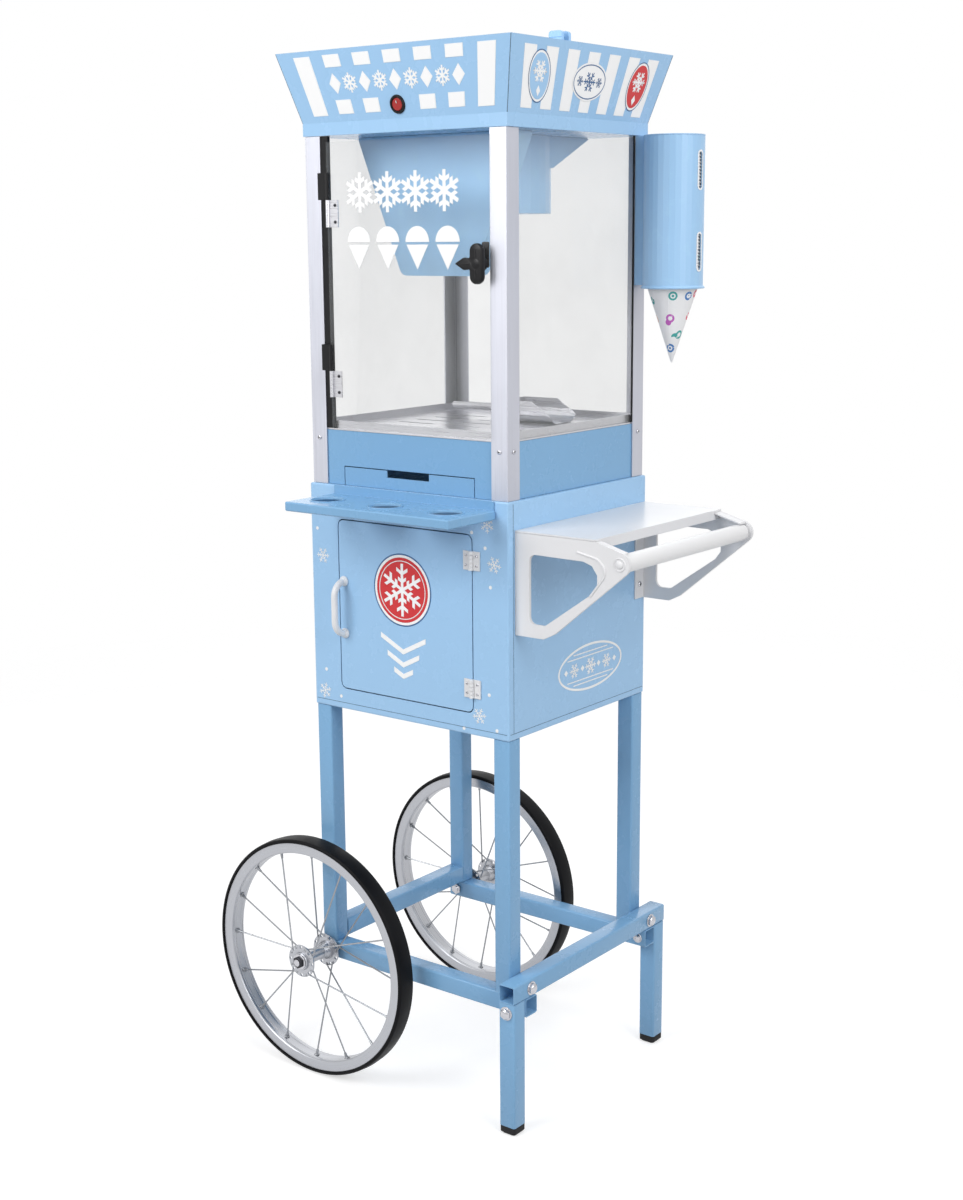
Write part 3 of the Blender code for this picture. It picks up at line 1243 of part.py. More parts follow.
def build_hopper():
    """Round hopper with a flange on the top plate, and a spout that leads the shavings down."""
    radius = HOPPER_RADIUS
    depth = HOPPER_TOP - HOPPER_BOTTOM
    brim = radius + HOPPER_FLANGE
    y = HOPPER_SETBACK
    profile = [(radius - SHEET, depth), (brim, depth), (brim, depth - SHEET), (radius, depth - SHEET),
               (radius, 0.0), (0.0, 0.0), (0.0, SHEET), (radius - SHEET, SHEET)]
    hopper = turned("ice_hopper", profile, (0, y, HOPPER_BOTTOM), Z_AXIS, STEEL, None, FINE_SIDES,
                    closed=True)
    cut(hopper, rod("hopper_shaft_hole", (0, y, HOPPER_BOTTOM - SHEET), (0, y, HOPPER_BOTTOM + 2 * SHEET),
                    ROTOR_SHAFT_RADIUS + PLAY, sides=SMALL_SIDES))
    half = SPOUT_WIDTH / 2
    low = HEADER_FLOOR + SEAT
    high = low + SPOUT_HEIGHT
    front = y - radius
    spout = box("spout", (-half, SPOUT_FRONT, low), (half, front + SPOUT_ROOT, high))
    cut(spout, box("spout_inside", (-half + SHEET, SPOUT_FRONT + SHEET, low - TUBE),
                   (half - SHEET, 0.0, high - SHEET)))
    cut(spout, rod("spout_trim", (0, y, low - TUBE), (0, y, high + TUBE), radius - SHEET / 2,
                   sides=FINE_SIDES))
    join(hopper, spout)
    slot_low = HOPPER_BOTTOM + SHEET + ROTOR_RUNNING_GAP
    cut(hopper, box("shaver_slot", (0.0, front - 2 * SHEET, slot_low),
                    (SHAVER_SLOT_WIDTH, front + 2 * SHEET, slot_low + SHAVER_SLOT_HEIGHT)))


def build_blade():
    """Blade on the outside of the hopper wall, its ground edge along the slot."""
    back = HOPPER_SETBACK - HOPPER_RADIUS - SEAT
    front = back - BLADE_GAUGE
    low = HOPPER_BOTTOM + SHEET + ROTOR_RUNNING_GAP
    ground = BLADE_OVERLAP - BLADE_GRIND
    outline = [(BLADE_OVERLAP, back), (-BLADE_WIDTH, back), (-BLADE_WIDTH, front), (ground, front)]
    slab("shaver_blade", outline, low, low + SHAVER_SLOT_HEIGHT, FLAT, STEEL)


def build_rotor():
    """Paddle wheel that sweeps the ice past the blade, on the motor's shaft."""
    axis = (0.0, HOPPER_SETBACK)
    low = HOPPER_BOTTOM + SHEET + ROTOR_RUNNING_GAP
    high = low + ROTOR_HUB_HEIGHT
    spin = pivot("shaver_rotor_spin", (*axis, HOPPER_BOTTOM), CART)
    rotor = rod("shaver_rotor", (*axis, HEADER_BOTTOM - ROTOR_SHAFT_DEPTH), (*axis, high), ROTOR_SHAFT_RADIUS,
                STEEL, spin, SHAFT_SIDES)
    join(rotor, rod("rotor_hub", (*axis, low), (*axis, high), ROTOR_HUB_RADIUS, None, spin,
                    end_radius=ROTOR_HUB_TOP_RADIUS))
    for index in range(ROTOR_PADDLES):
        turn = Matrix.Rotation(2 * math.pi * index / ROTOR_PADDLES, 3, "Z")
        join(rotor, solid("rotor_paddle", paddle(turn), None, spin, (*axis, low)))


def paddle(turn):
    """Paddle from the shaft outward, its far end swept back and its top edge sloping down."""
    reach = HOPPER_RADIUS - SHEET - ROTOR_RUNNING_GAP
    length = reach - ROTOR_SHAFT_RADIUS
    bm = bmesh.new()
    bmesh.ops.create_cube(bm, size=1.0)
    bmesh.ops.scale(bm, vec=(length, ROTOR_PADDLE_GAUGE, ROTOR_PADDLE_HEIGHT), verts=bm.verts)
    middle = (ROTOR_SHAFT_RADIUS + length / 2, 0, ROTOR_PADDLE_HEIGHT / 2)
    bmesh.ops.translate(bm, vec=middle, verts=bm.verts)
    for vert in bm.verts:
        if vert.co.x > reach / 2:
            vert.co.x -= ROTOR_RUNNING_GAP
            vert.co.y -= ROTOR_PADDLE_SWEEP
            if vert.co.z > ROTOR_PADDLE_HEIGHT / 2:
                vert.co.z -= ROTOR_PADDLE_SLOPE
    bmesh.ops.rotate(bm, matrix=turn, verts=bm.verts)
    return bm


def build_motor_drum():
    """Cup under the ceiling that hides the motor, with a sloping cover behind it."""
    y = HOPPER_SETBACK
    high = HOUSING_TOP
    low = high - DRUM_HEIGHT
    drum = rod("motor_drum", (0, y, low), (0, y, high), DRUM_RADIUS, BLUE, sides=FINE_SIDES)
    slope_start = high - WEDGE_DROP
    cover = [(y, slope_start), (WEDGE_FRONT, slope_start), (WEDGE_BACK, high - SHEET), (WEDGE_BACK, high),
             (y, high)]
    join(drum, slab("drum_cover", cover, -WEDGE_WIDTH / 2, WEDGE_WIDTH / 2, UPRIGHT_SIDE))
    cut(drum, rod("drum_inside", (0, y, low + SHEET), (0, y, high + TUBE), DRUM_RADIUS - SHEET,
                  sides=FINE_SIDES))


def build_motor():
    low = HOUSING_TOP - DRUM_HEIGHT + SHEET + SEAT
    radius = MOTOR_RADIUS
    height = MOTOR_HEIGHT
    bore = ROTOR_SHAFT_RADIUS + PLAY
    boss = bore * 2
    bottom = height - ROTOR_SHAFT_DEPTH
    cap = radius - MOTOR_CAP_STEP
    end = MOTOR_CAP_HEIGHT
    profile = [(bore, height), (boss, height), (cap, height - end / 2), (cap, height - end),
               (radius, height - end),
               (radius, end), (cap, end), (cap, 0.0), (0.0, 0.0), (0.0, bottom), (bore, bottom)]
    turned("shaver_motor", profile, (0, HOPPER_SETBACK, low), Z_AXIS, STEEL, closed=True)


def build_chute():
    """Funnel that hangs from the ceiling in front of the drum, with a mouth at its foot."""
    high = HOUSING_TOP
    low = high - CHUTE_HEIGHT
    top, mouth = CHUTE_TOP_WIDTH / 2, CHUTE_MOUTH_WIDTH / 2
    shoulder = high - CHUTE_SHOULDER

    def funnel(inset, above):
        wide = top - inset
        narrow = mouth - inset
        return rounded([(-narrow, low + inset, CHUTE_CORNER), (narrow, low + inset, CHUTE_CORNER),
                        (wide, shoulder, 0), (wide, high + above, 0),
                        (-wide, high + above, 0), (-wide, shoulder, 0)])

    chute = slab("discharge_chute", funnel(0.0, 0.0), CHUTE_FRONT, CHUTE_BACK, UPRIGHT_FRONT, BLUE)
    cut(chute, slab("chute_inside", funnel(SHEET, TUBE), CHUTE_FRONT + SHEET, CHUTE_BACK - SHEET,
                    UPRIGHT_FRONT))
    opening = mouth - CHUTE_CORNER
    cut(chute, box("chute_mouth", (-opening, CHUTE_FRONT + SHEET, low - TUBE),
                   (opening, CHUTE_BACK - SHEET, low + TUBE / 2)))


# Side shelf

def bracket_outline():
    """Bracket in (X, Z): a foot on the cabinet, a long arm to the bar and a strut under it."""
    top = BRACKET_TOP
    low = top - BRACKET_HEIGHT
    foot = SHELF_X + BRACKET_FOOT
    nose = arc((BAR_X, BAR_Z), BRACKET_TIP, BRACKET_NOSE_END, BRACKET_NOSE_TOP, 8)
    toe = (foot + BRACKET_TOE_WIDTH, low + BRACKET_TOE_RISE)
    return [(SHELF_X, top), (SHELF_X, low), (foot, low), toe, *nose, (SHELF_X + SHELF_REACH, top)]


def bracket_window():
    """Rounded triangular window between the arm and the strut."""
    left = SHELF_X + BRACKET_WINDOW_INSET
    foot = SHELF_X + BRACKET_WINDOW_FOOT
    nose = SHELF_X + BRACKET_WINDOW_NOSE
    sill = BRACKET_TOP - BRACKET_HEIGHT + BRACKET_WINDOW_SILL
    head = BRACKET_TOP - BRACKET_WINDOW_DROP
    tip = BRACKET_TOP - BRACKET_WINDOW_NOSE_DROP
    bend = BRACKET_WINDOW_ROUND
    return rounded([(left, head, bend), (left, sill, bend), (foot, sill, bend),
                    (nose, tip, BRACKET_WINDOW_NOSE_ROUND)])


def arm_flange():
    """Flange along the arm's upper edge in (X, Z), from the plate's end to the nose."""
    start = SHELF_X + SHELF_REACH + SEAT
    end = BAR_X + BRACKET_TIP * math.cos(math.radians(BRACKET_NOSE_TOP))
    start_z = BRACKET_TOP - SEAT
    end_z = BAR_Z + BRACKET_TIP * math.sin(math.radians(BRACKET_NOSE_TOP)) - SEAT
    return [(start, start_z), (start, start_z - SHELF_GAUGE), (end, end_z - SHELF_GAUGE), (end, end_z)]


def build_shelf():
    low = BRACKET_TOP + SEAT
    high = low + SHELF_GAUGE
    end = SHELF_X + SHELF_REACH
    gap = BRACKET_GAUGE + SEAT
    shelf = box("shelf_plate", (SHELF_X, SHELF_FRONT, low), (end, SHELF_BACK, high), WHITE)
    join(shelf, box("shelf_lip", (end - SHELF_GAUGE, SHELF_FRONT + gap, high - SHELF_LIP),
                    (end, SHELF_BACK - gap, high)))
    ends = (("front", SHELF_FRONT, 1, FRONT_ARM_FLANGE), ("rear", SHELF_BACK, -1, REAR_ARM_FLANGE))
    for depth, near, inward, arm in ends:
        web = sorted((near, near + inward * BRACKET_GAUGE))
        bracket = slab(f"{depth}_shelf_bracket", bracket_outline(), *web, UPRIGHT_FRONT, WHITE,
                       holes=[bracket_window()])
        flange_low, flange_high = sorted((near, near + inward * BRACKET_FLANGE))
        join(bracket, box("bracket_flange", (SHELF_X, flange_low, BRACKET_TOP - BRACKET_HEIGHT),
                          (SHELF_X + SHELF_GAUGE, flange_high, BRACKET_TOP)))
        span = sorted((near + inward * BRACKET_GAUGE / 2, near + inward * arm))
        join(bracket, slab("arm_flange", arm_flange(), *span, UPRIGHT_FRONT))
    rod("handle_bar", (BAR_X, SHELF_FRONT + gap, BAR_Z), (BAR_X, SHELF_BACK - gap, BAR_Z), BAR_RADIUS, WHITE)


# Cone dispenser

def build_dispenser():
    """Tube on a box bracket, with two sight slots and a flared lower rim."""
    radius = DISPENSER_RADIUS
    inner = radius - DISPENSER_WALL
    flare = DISPENSER_FLARE
    x, y, bottom = DISPENSER_X, DISPENSER_Y, DISPENSER_BOTTOM
    profile = [(inner, DISPENSER_HEIGHT), (radius, DISPENSER_HEIGHT), (radius, 2 * flare),
               (radius + flare, flare), (radius + flare, 0.0), (inner, 0.0)]
    tube = turned("cone_dispenser", profile, (x, y, bottom), Z_AXIS, BLUE, None, FINE_SIDES, closed=True)
    bracket = box("dispenser_bracket", (POST_X + SEAT, POST_Y - DISPENSER_BRACKET_WIDTH, bottom + 2 * flare),
                  (x - radius + DISPENSER_STANDOFF, POST_Y, DISPENSER_TOP))
    cut(bracket, rod("bracket_trim", (x, y, bottom - TUBE), (x, y, DISPENSER_TOP + TUBE),
                     inner + DISPENSER_WALL / 2, sides=FINE_SIDES))
    join(tube, bracket)
    wide = DISPENSER_SLOT_WIDTH / 2
    bend = DISPENSER_SLOT_ROUND
    for index in range(2):
        low = bottom + DISPENSER_SLOT_RISE + DISPENSER_SLOT_PITCH * index
        high = low + DISPENSER_SLOT_LENGTH
        outline = rounded([(y - wide, low, bend), (y + wide, low, bend), (y + wide, high, bend),
                           (y - wide, high, bend)])
        cut(tube, slab("sight_slot", outline, x, x + 2 * radius, UPRIGHT_SIDE))


def build_cones():
    """The cone that hangs out of the tube, and the stack nested above it."""
    place = (DISPENSER_X, DISPENSER_Y, DISPENSER_BOTTOM + CONE_REST - CONE_HEIGHT)
    slope = CONE_RADIUS / CONE_HEIGHT
    inner_tip = CONE_WALL / math.sin(math.atan(slope))
    slide = pivot("paper_cone_slide", place, CART)
    cone = [(CONE_RADIUS - CONE_WALL, CONE_HEIGHT), (CONE_RADIUS, CONE_HEIGHT), (0.0, 0.0), (0.0, inner_tip)]
    turned("paper_cone", cone, place, Z_AXIS, PAPER, slide, closed=True)
    lift = STACK_PITCH
    stack = []
    for index in reversed(range(STACK_RIMS)):
        rim = CONE_HEIGHT + lift * (index + 1)
        stack.append((CONE_RADIUS, rim))
        stack.append((CONE_RADIUS - slope * lift + CONE_WALL, rim - lift + CONE_RIM))
    stack[-1] = (CONE_RADIUS - CONE_RIM, CONE_HEIGHT + lift - CONE_RIM)
    top = CONE_HEIGHT + lift * STACK_RIMS
    under = (CONE_RADIUS - slope * (inner_tip - CONE_WALL) - 4 * CONE_WALL, CONE_HEIGHT + CONE_RIM)
    nested = [(CONE_RADIUS - 2 * CONE_WALL, top), *stack, under, (0.0, inner_tip + lift),
              (0.0, top - STACK_WELL)]
    turned("cone_stack", nested, place, Z_AXIS, PAPER, closed=True)


def build_scoop():
    """Open-fronted steel scoop with a round handle, lying on the deck."""
    x, y = SCOOP_CENTRE
    low = DECK_TOP + SEAT
    high = low + SCOOP_BOWL_HEIGHT
    half = SCOOP_BOWL_WIDTH / 2
    lift = pivot("scoop_lift", (x, y, low), CART)

    def trough(inset, above):
        bend = SCOOP_ROUND - inset
        left, right = y - half + inset, y + half - inset
        return rounded([(left, low + inset, bend), (right, low + inset, bend), (right, high + above, 0),
                        (left, high + above, 0)], SCOOP_ROUND_STEPS)

    gauge = SCOOP_GAUGE
    scoop = slab("scoop", trough(0.0, 0.0), x, x + SCOOP_BOWL_LENGTH, UPRIGHT_SIDE, STEEL, lift)
    cut(scoop, slab("scoop_bowl", trough(gauge, gauge), x + gauge, x + 2 * SCOOP_BOWL_LENGTH, UPRIGHT_SIDE,
                    None, lift))
    rake = [(x + SCOOP_RAKE_START, high + gauge), (x + SCOOP_RAKE_END, high + gauge),
            (x + SCOOP_RAKE_END, low)]
    cut(scoop, slab("scoop_rake", rake, y - SCOOP_BOWL_WIDTH, y + SCOOP_BOWL_WIDTH, UPRIGHT_FRONT, None,
                    lift))
    z = low + SCOOP_HANDLE_RISE
    join(scoop, rod("scoop_handle", (x + gauge / 2, y, z), (x - SCOOP_HANDLE_LENGTH, y, z),
                    SCOOP_HANDLE_RADIUS, None, lift, SHAFT_SIDES, SCOOP_HANDLE_END_RADIUS))


build_upper_legs()
build_rails()
build_stand()
build_foot_caps()
build_wheels()
build_storage()
build_cone_rack()
build_kiosk_base()
build_drip_drawer()
build_ice_deck()
build_posts()
build_panes()
build_hinge_strip()
build_glass_door()
build_header_shell()
build_switch()
build_header_top()
build_lid()
build_hopper()
build_blade()
build_rotor()
build_motor_drum()
build_motor()
build_chute()
build_shelf()
build_dispenser()
build_cones()
build_scoop()

for part in PARTS.objects:
    if any(step.type == "BOOLEAN" for step in part.modifiers):
        weld = part.modifiers.new("weld", "WELD")
        weld.merge_threshold = WELD_DISTANCE
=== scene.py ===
"""Looks of the snow cone cart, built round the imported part. All sizes are in metres."""

import json
import math

import bmesh
import bpy
from mathutils import Matrix, Vector


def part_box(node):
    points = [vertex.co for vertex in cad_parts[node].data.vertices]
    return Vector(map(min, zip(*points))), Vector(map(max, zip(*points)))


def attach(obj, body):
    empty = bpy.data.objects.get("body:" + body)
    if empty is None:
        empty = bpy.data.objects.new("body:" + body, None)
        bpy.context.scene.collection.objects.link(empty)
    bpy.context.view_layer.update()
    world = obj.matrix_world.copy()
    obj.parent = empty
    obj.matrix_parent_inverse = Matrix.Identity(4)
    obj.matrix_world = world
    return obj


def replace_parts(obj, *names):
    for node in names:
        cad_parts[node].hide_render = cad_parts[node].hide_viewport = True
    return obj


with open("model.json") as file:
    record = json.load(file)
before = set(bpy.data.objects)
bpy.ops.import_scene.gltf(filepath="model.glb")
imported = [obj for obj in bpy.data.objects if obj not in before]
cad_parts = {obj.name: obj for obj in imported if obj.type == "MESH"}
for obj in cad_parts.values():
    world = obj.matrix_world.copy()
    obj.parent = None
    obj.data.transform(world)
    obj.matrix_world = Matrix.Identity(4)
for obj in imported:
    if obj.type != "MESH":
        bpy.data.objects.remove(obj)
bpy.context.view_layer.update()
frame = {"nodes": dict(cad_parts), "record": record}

X = Vector((1.0, 0.0, 0.0))
Y = Vector((0.0, 1.0, 0.0))
Z = Vector((0.0, 0.0, 1.0))


def corners(node):
    low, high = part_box(node)
    return Vector(low), Vector(high)


def middle_of(node):
    low, high = corners(node)
    return (low + high) / 2


def show(thing):
    """Links an object to the scene and hands it back."""
    bpy.context.scene.collection.objects.link(thing)
    return thing


def over(node, height):
    """The point over a node's middle at a height."""
    middle = middle_of(node)
    return Vector((middle.x, middle.y, height))


# Camera at the photograph's viewing angle
CAMERA_PLACE = Vector((1.4410, -1.8612, 1.1494))
CAMERA_YAW = math.radians(37.64)
CAMERA_PITCH = math.radians(11.64)
CAMERA_ROLL = -0.0075  # radians
LENS = 52.97
SENSOR_HEIGHT = 36.0
VIEW_DEPTH = 60.0


def add_camera():
    forward = Vector((-math.sin(CAMERA_YAW) * math.cos(CAMERA_PITCH),
                      math.cos(CAMERA_YAW) * math.cos(CAMERA_PITCH), -math.sin(CAMERA_PITCH)))
    right = Vector((math.cos(CAMERA_YAW), math.sin(CAMERA_YAW), 0.0))
    up = right.cross(forward)
    level, tilt = math.cos(CAMERA_ROLL), math.sin(CAMERA_ROLL)
    right, up = right * level + up * tilt, up * level - right * tilt
    data = bpy.data.cameras.new("camera")
    data.lens = LENS
    data.sensor_fit = "VERTICAL"
    data.sensor_height = SENSOR_HEIGHT
    data.clip_end = VIEW_DEPTH
    camera = show(bpy.data.objects.new("camera", data))
    facing = Matrix((right, up, -forward)).transposed().to_4x4()
    camera.matrix_world = Matrix.Translation(CAMERA_PLACE) @ facing
    bpy.context.scene.camera = camera


# Shader maths as expressions
BEVEL_SAMPLES = 4


class Sum:
    """An output socket of a material's node tree; arithmetic on it adds Math nodes."""

    def __init__(self, tree, socket):
        self.tree = tree
        self.socket = socket

    def maths(self, operation, *others):
        node = self.tree.nodes.new("ShaderNodeMath")
        node.operation = operation
        for place, value in zip(node.inputs, (self, *others)):
            if isinstance(value, Sum):
                self.tree.links.new(value.socket, place)
            else:
                place.default_value = value
        return Sum(self.tree, node.outputs[0])

    def __add__(self, other):
        return self.maths("ADD", other)

    def __mul__(self, other):
        return self.maths("MULTIPLY", other)

    def __sub__(self, other):
        return self.maths("SUBTRACT", other)

    def __rsub__(self, other):
        return self.maths("MULTIPLY", -1.0).maths("ADD", other)

    def __gt__(self, other):
        return self.maths("GREATER_THAN", other)

    def __lt__(self, other):
        return self.maths("LESS_THAN", other)

    def clamp(self):
        return self.maths("MAXIMUM", 0.0).maths("MINIMUM", 1.0)


class Finish:
    """A material with one Principled shader, and one method that adds any other node to it."""

    def __init__(self, name, colour, roughness, metallic=0.0, **values):
        self.material = bpy.data.materials.new(name)
        self.material.use_nodes = True
        self.tree = self.material.node_tree
        self.shader = self.tree.nodes["Principled BSDF"]
        self.shader.inputs["Base Color"].default_value = (*colour, 1.0)
        self.shader.inputs["Roughness"].default_value = roughness
        self.shader.inputs["Metallic"].default_value = metallic
        for place, value in values.items():
            self.shader.inputs[place.replace("_", " ").title().replace("Ior", "IOR")].default_value = value
        self.place = self.node("ShaderNodeTexCoord", {}, {}, "Object")

    def node(self, kind, settings, inputs, output=0):
        node = self.tree.nodes.new(kind)
        for key, value in settings.items():
            if key == "stops":
                while len(node.color_ramp.elements) < len(value):
                    node.color_ramp.elements.new(0.5)
                for stop, (where, colour) in zip(node.color_ramp.elements, value):
                    stop.position = where
                    stop.color = (*colour, 1.0)
            else:
                setattr(node, key, value)
        for key, value in inputs.items():
            if isinstance(value, Sum):
                self.tree.links.new(value.socket, node.inputs[key])
            else:
                node.inputs[key].default_value = value
        return Sum(self.tree, node.outputs[output])

    def feed(self, place, value):
        self.tree.links.new(value.socket, self.shader.inputs[place])

    def axes(self, place):
        node = self.tree.nodes.new("ShaderNodeSeparateXYZ")
        self.tree.links.new(place.socket, node.inputs[0])
        return [Sum(self.tree, node.outputs[index]) for index in range(3)]

    def from_axle(self, centre):
        """Distance from an axle that runs along Y through a centre."""
        across, _, up = self.axes(self.place)
        away = self.node("ShaderNodeCombineXYZ", {}, {0: across - centre.x, 1: up - centre.z})
        return self.node("ShaderNodeVectorMath", {"operation": "LENGTH"}, {0: away}, "Value")

    def stretched(self, scale):
        return self.node("ShaderNodeMapping", {}, {"Vector": self.place, "Scale": scale})

    def noise(self, scale, detail=3.0, roughness=0.5, place=None):
        inputs = {"Vector": place or self.place, "Scale": scale, "Detail": detail, "Roughness": roughness}
        return self.node("ShaderNodeTexNoise", {}, inputs, "Fac")

    def ramp(self, value, low, high, start, end):
        inputs = {"Value": value, "From Min": low, "From Max": high, "To Min": start, "To Max": end}
        return self.node("ShaderNodeMapRange", {"clamp": True}, inputs)

    def mix(self, factor, first, second):
        ends = [end if isinstance(end, Sum) else (*end, 1.0) for end in (first, second)]
        return self.node("ShaderNodeMix", {"data_type": "RGBA"}, {0: factor, 6: ends[0], 7: ends[1]}, 2)

    def bump(self, height, distance, strength, edge=0.0):
        inputs = {"Height": height, "Distance": distance, "Strength": strength}
        if edge:
            inputs["Normal"] = self.node("ShaderNodeBevel", {"samples": BEVEL_SAMPLES}, {"Radius": edge})
        self.feed("Normal", self.node("ShaderNodeBump", {}, inputs, "Normal"))

    def edges(self, radius, low, high):
        """1 along sharp edges and 0 on open faces."""
        inputs = {0: self.node("ShaderNodeBevel", {"samples": BEVEL_SAMPLES}, {"Radius": radius}),
                  1: self.node("ShaderNodeNewGeometry", {}, {}, "Normal")}
        lean = self.node("ShaderNodeVectorMath", {"operation": "DOT_PRODUCT"}, inputs, "Value")
        return self.ramp(1.0 - lean, low, high, 0.0, 1.0)


# Finishes
SKY = (0.345, 0.568, 0.822)
# Darker copy of the sky paint: painted shade for the frame tubes, the kiosk base, the rack and the drawer
SHADED_SKY = (0.208, 0.410, 0.642)
# Lighter copy of the sky blue: painted light on the drum and chute, which sit in the kiosk's shade under the
# header
BRIGHTENED_SKY = (0.390, 0.655, 0.925)
PAPER_WHITE = (0.86, 0.86, 0.87)
PALE_LIMIT = 0.9
INKS = [(0.0, (0.72, 0.10, 0.16)), (0.25, (0.86, 0.36, 0.20)), (0.42, (0.06, 0.20, 0.48)),
        (0.60, (0.05, 0.36, 0.34)), (0.78, (0.50, 0.12, 0.48))]


def tinted(colour, factor, lift=0.0, limit=1.0):
    return tuple(min(part * factor + lift, limit) for part in colour)


def gloss_paint(name, colour, gloss=0.26):
    """Powder coat on sheet metal: faint orange peel, slow tone drift, thin bright wear on the edges."""
    finish = Finish(name, colour, gloss, coat_weight=0.10, coat_roughness=0.12, specular_ior_level=0.28)
    drift = finish.noise(3.0, 2.0)
    handled = finish.noise(28.0, 4.0, 0.6)
    tone = finish.mix(finish.ramp(drift, 0.35, 0.65, 0.0, 1.0), tinted(colour, 0.99), colour)
    worn = finish.edges(0.0010, 0.12, 0.5) * finish.ramp(handled, 0.42, 0.62, 0.1, 0.45)
    finish.feed("Base Color", finish.mix(worn, tone, tinted(colour, 1.12, 0.05, PALE_LIMIT)))
    finish.feed("Roughness", finish.ramp(handled, 0.35, 0.7, gloss - 0.01, gloss + 0.03))
    finish.bump(finish.noise(420.0, 1.0), 0.00008, 0.5, 0.0009)
    return finish


def moulded_plastic(name, colour, roughness, gleam=0.5):
    """Injection moulded plastic with a fine grain and soft corners."""
    finish = Finish(name, colour, roughness, specular_ior_level=gleam)
    scuffs = finish.noise(55.0, 4.0, 0.65)
    scuffed = finish.ramp(scuffs, 0.55, 0.8, 0.0, 0.25)
    finish.feed("Base Color", finish.mix(scuffed, colour, tinted(colour, 1.3, 0.02, PALE_LIMIT)))
    finish.feed("Roughness", finish.ramp(scuffs, 0.3, 0.7, roughness - 0.06, roughness + 0.1))
    finish.bump(finish.noise(900.0, 2.0), 0.00005, 0.5, 0.0006)
    return finish


def rolled_metal(name, colour, roughness, lines, streak=0.08):
    """Metal with rolling or brushing lines; lines gives how tight they are along X, Y and Z."""
    finish = Finish(name, colour, roughness, metallic=1.0)
    brushed = finish.noise(1.0, 3.0, 0.7, finish.stretched(lines))
    cloud = finish.noise(14.0, 3.0)
    finish.feed("Roughness", finish.ramp(brushed, 0.3, 0.7, roughness - streak, roughness + streak)
                + finish.ramp(cloud, 0.35, 0.7, 0.0, 0.06))
    bright = finish.ramp(brushed, 0.3, 0.75, 0.0, 1.0)
    finish.feed("Base Color", finish.mix(bright, tinted(colour, 0.88), colour))
    finish.bump(brushed, 0.00003, 0.4, 0.0005)
    return finish


def ringed_metal(name, colour, roughness, centre, rings):
    """Turned metal: tight rings about an axle that runs along Y."""
    finish = Finish(name, colour, roughness, metallic=1.0)
    inputs = {"W": finish.from_axle(centre) * rings, "Scale": 1.0, "Detail": 2.0}
    lines = finish.node("ShaderNodeTexNoise", {"noise_dimensions": "1D"}, inputs, "Fac")
    bright = finish.ramp(lines, 0.3, 0.7, 0.0, 1.0)
    finish.feed("Base Color", finish.mix(bright, tinted(colour, 0.86), colour))
    finish.feed("Roughness", finish.ramp(lines, 0.3, 0.7, roughness - 0.05, roughness + 0.08))
    finish.bump(lines, 0.00003, 0.4)
    return finish


def tyre_rubber(centre):
    """Solid black tyre: moulding rings on the side wall and a dusty bloom in patches."""
    finish = Finish("tyre_rubber", (0.002, 0.002, 0.003), 0.36, specular_ior_level=0.10)
    rings = (finish.from_axle(centre) * 2600.0).maths("SINE")
    dust = finish.noise(16.0, 5.0, 0.65)
    dusty = finish.ramp(dust, 0.45, 0.75, 0.0, 0.5)
    finish.feed("Base Color", finish.mix(dusty, (0.003, 0.003, 0.004), (0.011, 0.011, 0.012)))
    finish.feed("Roughness", finish.ramp(dust, 0.3, 0.7, 0.34, 0.60))
    finish.bump(rings * 0.3 + finish.noise(700.0, 2.0), 0.0001, 0.6)
    return finish


def clear_sheet():
    """Clear acrylic: straight through, with grey cover that grows at a grazing look as painted reflection,
    and faint wiping haze.
    """
    finish = Finish("clear_sheet", (0.55, 0.56, 0.56), 0.03)
    edge = finish.node("ShaderNodeLayerWeight", {}, {"Blend": 0.25}, "Fresnel")
    wiped = finish.noise(9.0, 4.0, 0.6)
    # the Layer Weight part is grey cover as painted reflection; the noise part is wiping haze
    alpha = edge * 0.14 + finish.ramp(wiped, 0.4, 0.75, 0.05, 0.08)
    finish.feed("Alpha", alpha.clamp())
    finish.feed("Roughness", finish.ramp(wiped, 0.4, 0.8, 0.02, 0.07))
    return finish


def printed_paper():
    """Waxed cone paper, printed with loose rings and dots in mild colours."""
    finish = Finish("printed_paper", PAPER_WHITE, 0.55)
    inputs = {"Vector": finish.place, "Scale": 50.0, "Randomness": 0.8}
    cells = finish.node("ShaderNodeTexVoronoi", {"feature": "F1"}, inputs).socket.node
    distance = Sum(finish.tree, cells.outputs["Distance"])
    choice = finish.axes(Sum(finish.tree, cells.outputs["Color"]))[1]
    ink = finish.node("ShaderNodeValToRGB", {"stops": INKS}, {"Fac": choice})
    ink.socket.node.color_ramp.interpolation = "CONSTANT"
    streaks = finish.noise(1.0, 2.0, 0.5, finish.stretched((110.0, 110.0, 210.0)))
    ring = (distance - 0.24).maths("ABSOLUTE") < 0.065
    mark = (ring + (distance < 0.09)).clamp() * (streaks > 0.36)
    fibre = finish.noise(260.0, 4.0, 0.7)
    paper = finish.mix(finish.ramp(fibre, 0.35, 0.7, 0.0, 0.3), PAPER_WHITE, (0.78, 0.78, 0.80))
    finish.feed("Base Color", finish.mix(mark, paper, ink))
    finish.feed("Roughness", finish.ramp(fibre, 0.3, 0.7, 0.48, 0.68))
    finish.bump(fibre, 0.00006, 0.4)
    return finish


# Floor, world and lamps
def path_seen(tree):
    """1 for rays that look at the background: straight, in gloss and through glass."""
    path = tree.nodes.new("ShaderNodeLightPath")
    looks = [Sum(tree, path.outputs[f"Is {kind} Ray"]) for kind in ("Camera", "Glossy", "Transmission")]
    return (looks[0] + looks[1] + looks[2]).clamp()


FLOOR_REACH = 4.0
FLOOR_CLEAR = 1.3
FLOOR_GONE = 2.9
FLOOR_DROP = 0.0005
FLOOR_COLOUR = (0.55, 0.55, 0.555)
FLOOR_GLOW = 0.58
WHITE_LIGHT = (1.0, 1.0, 1.0, 1.0)
WORLD_LIGHT = 0.32

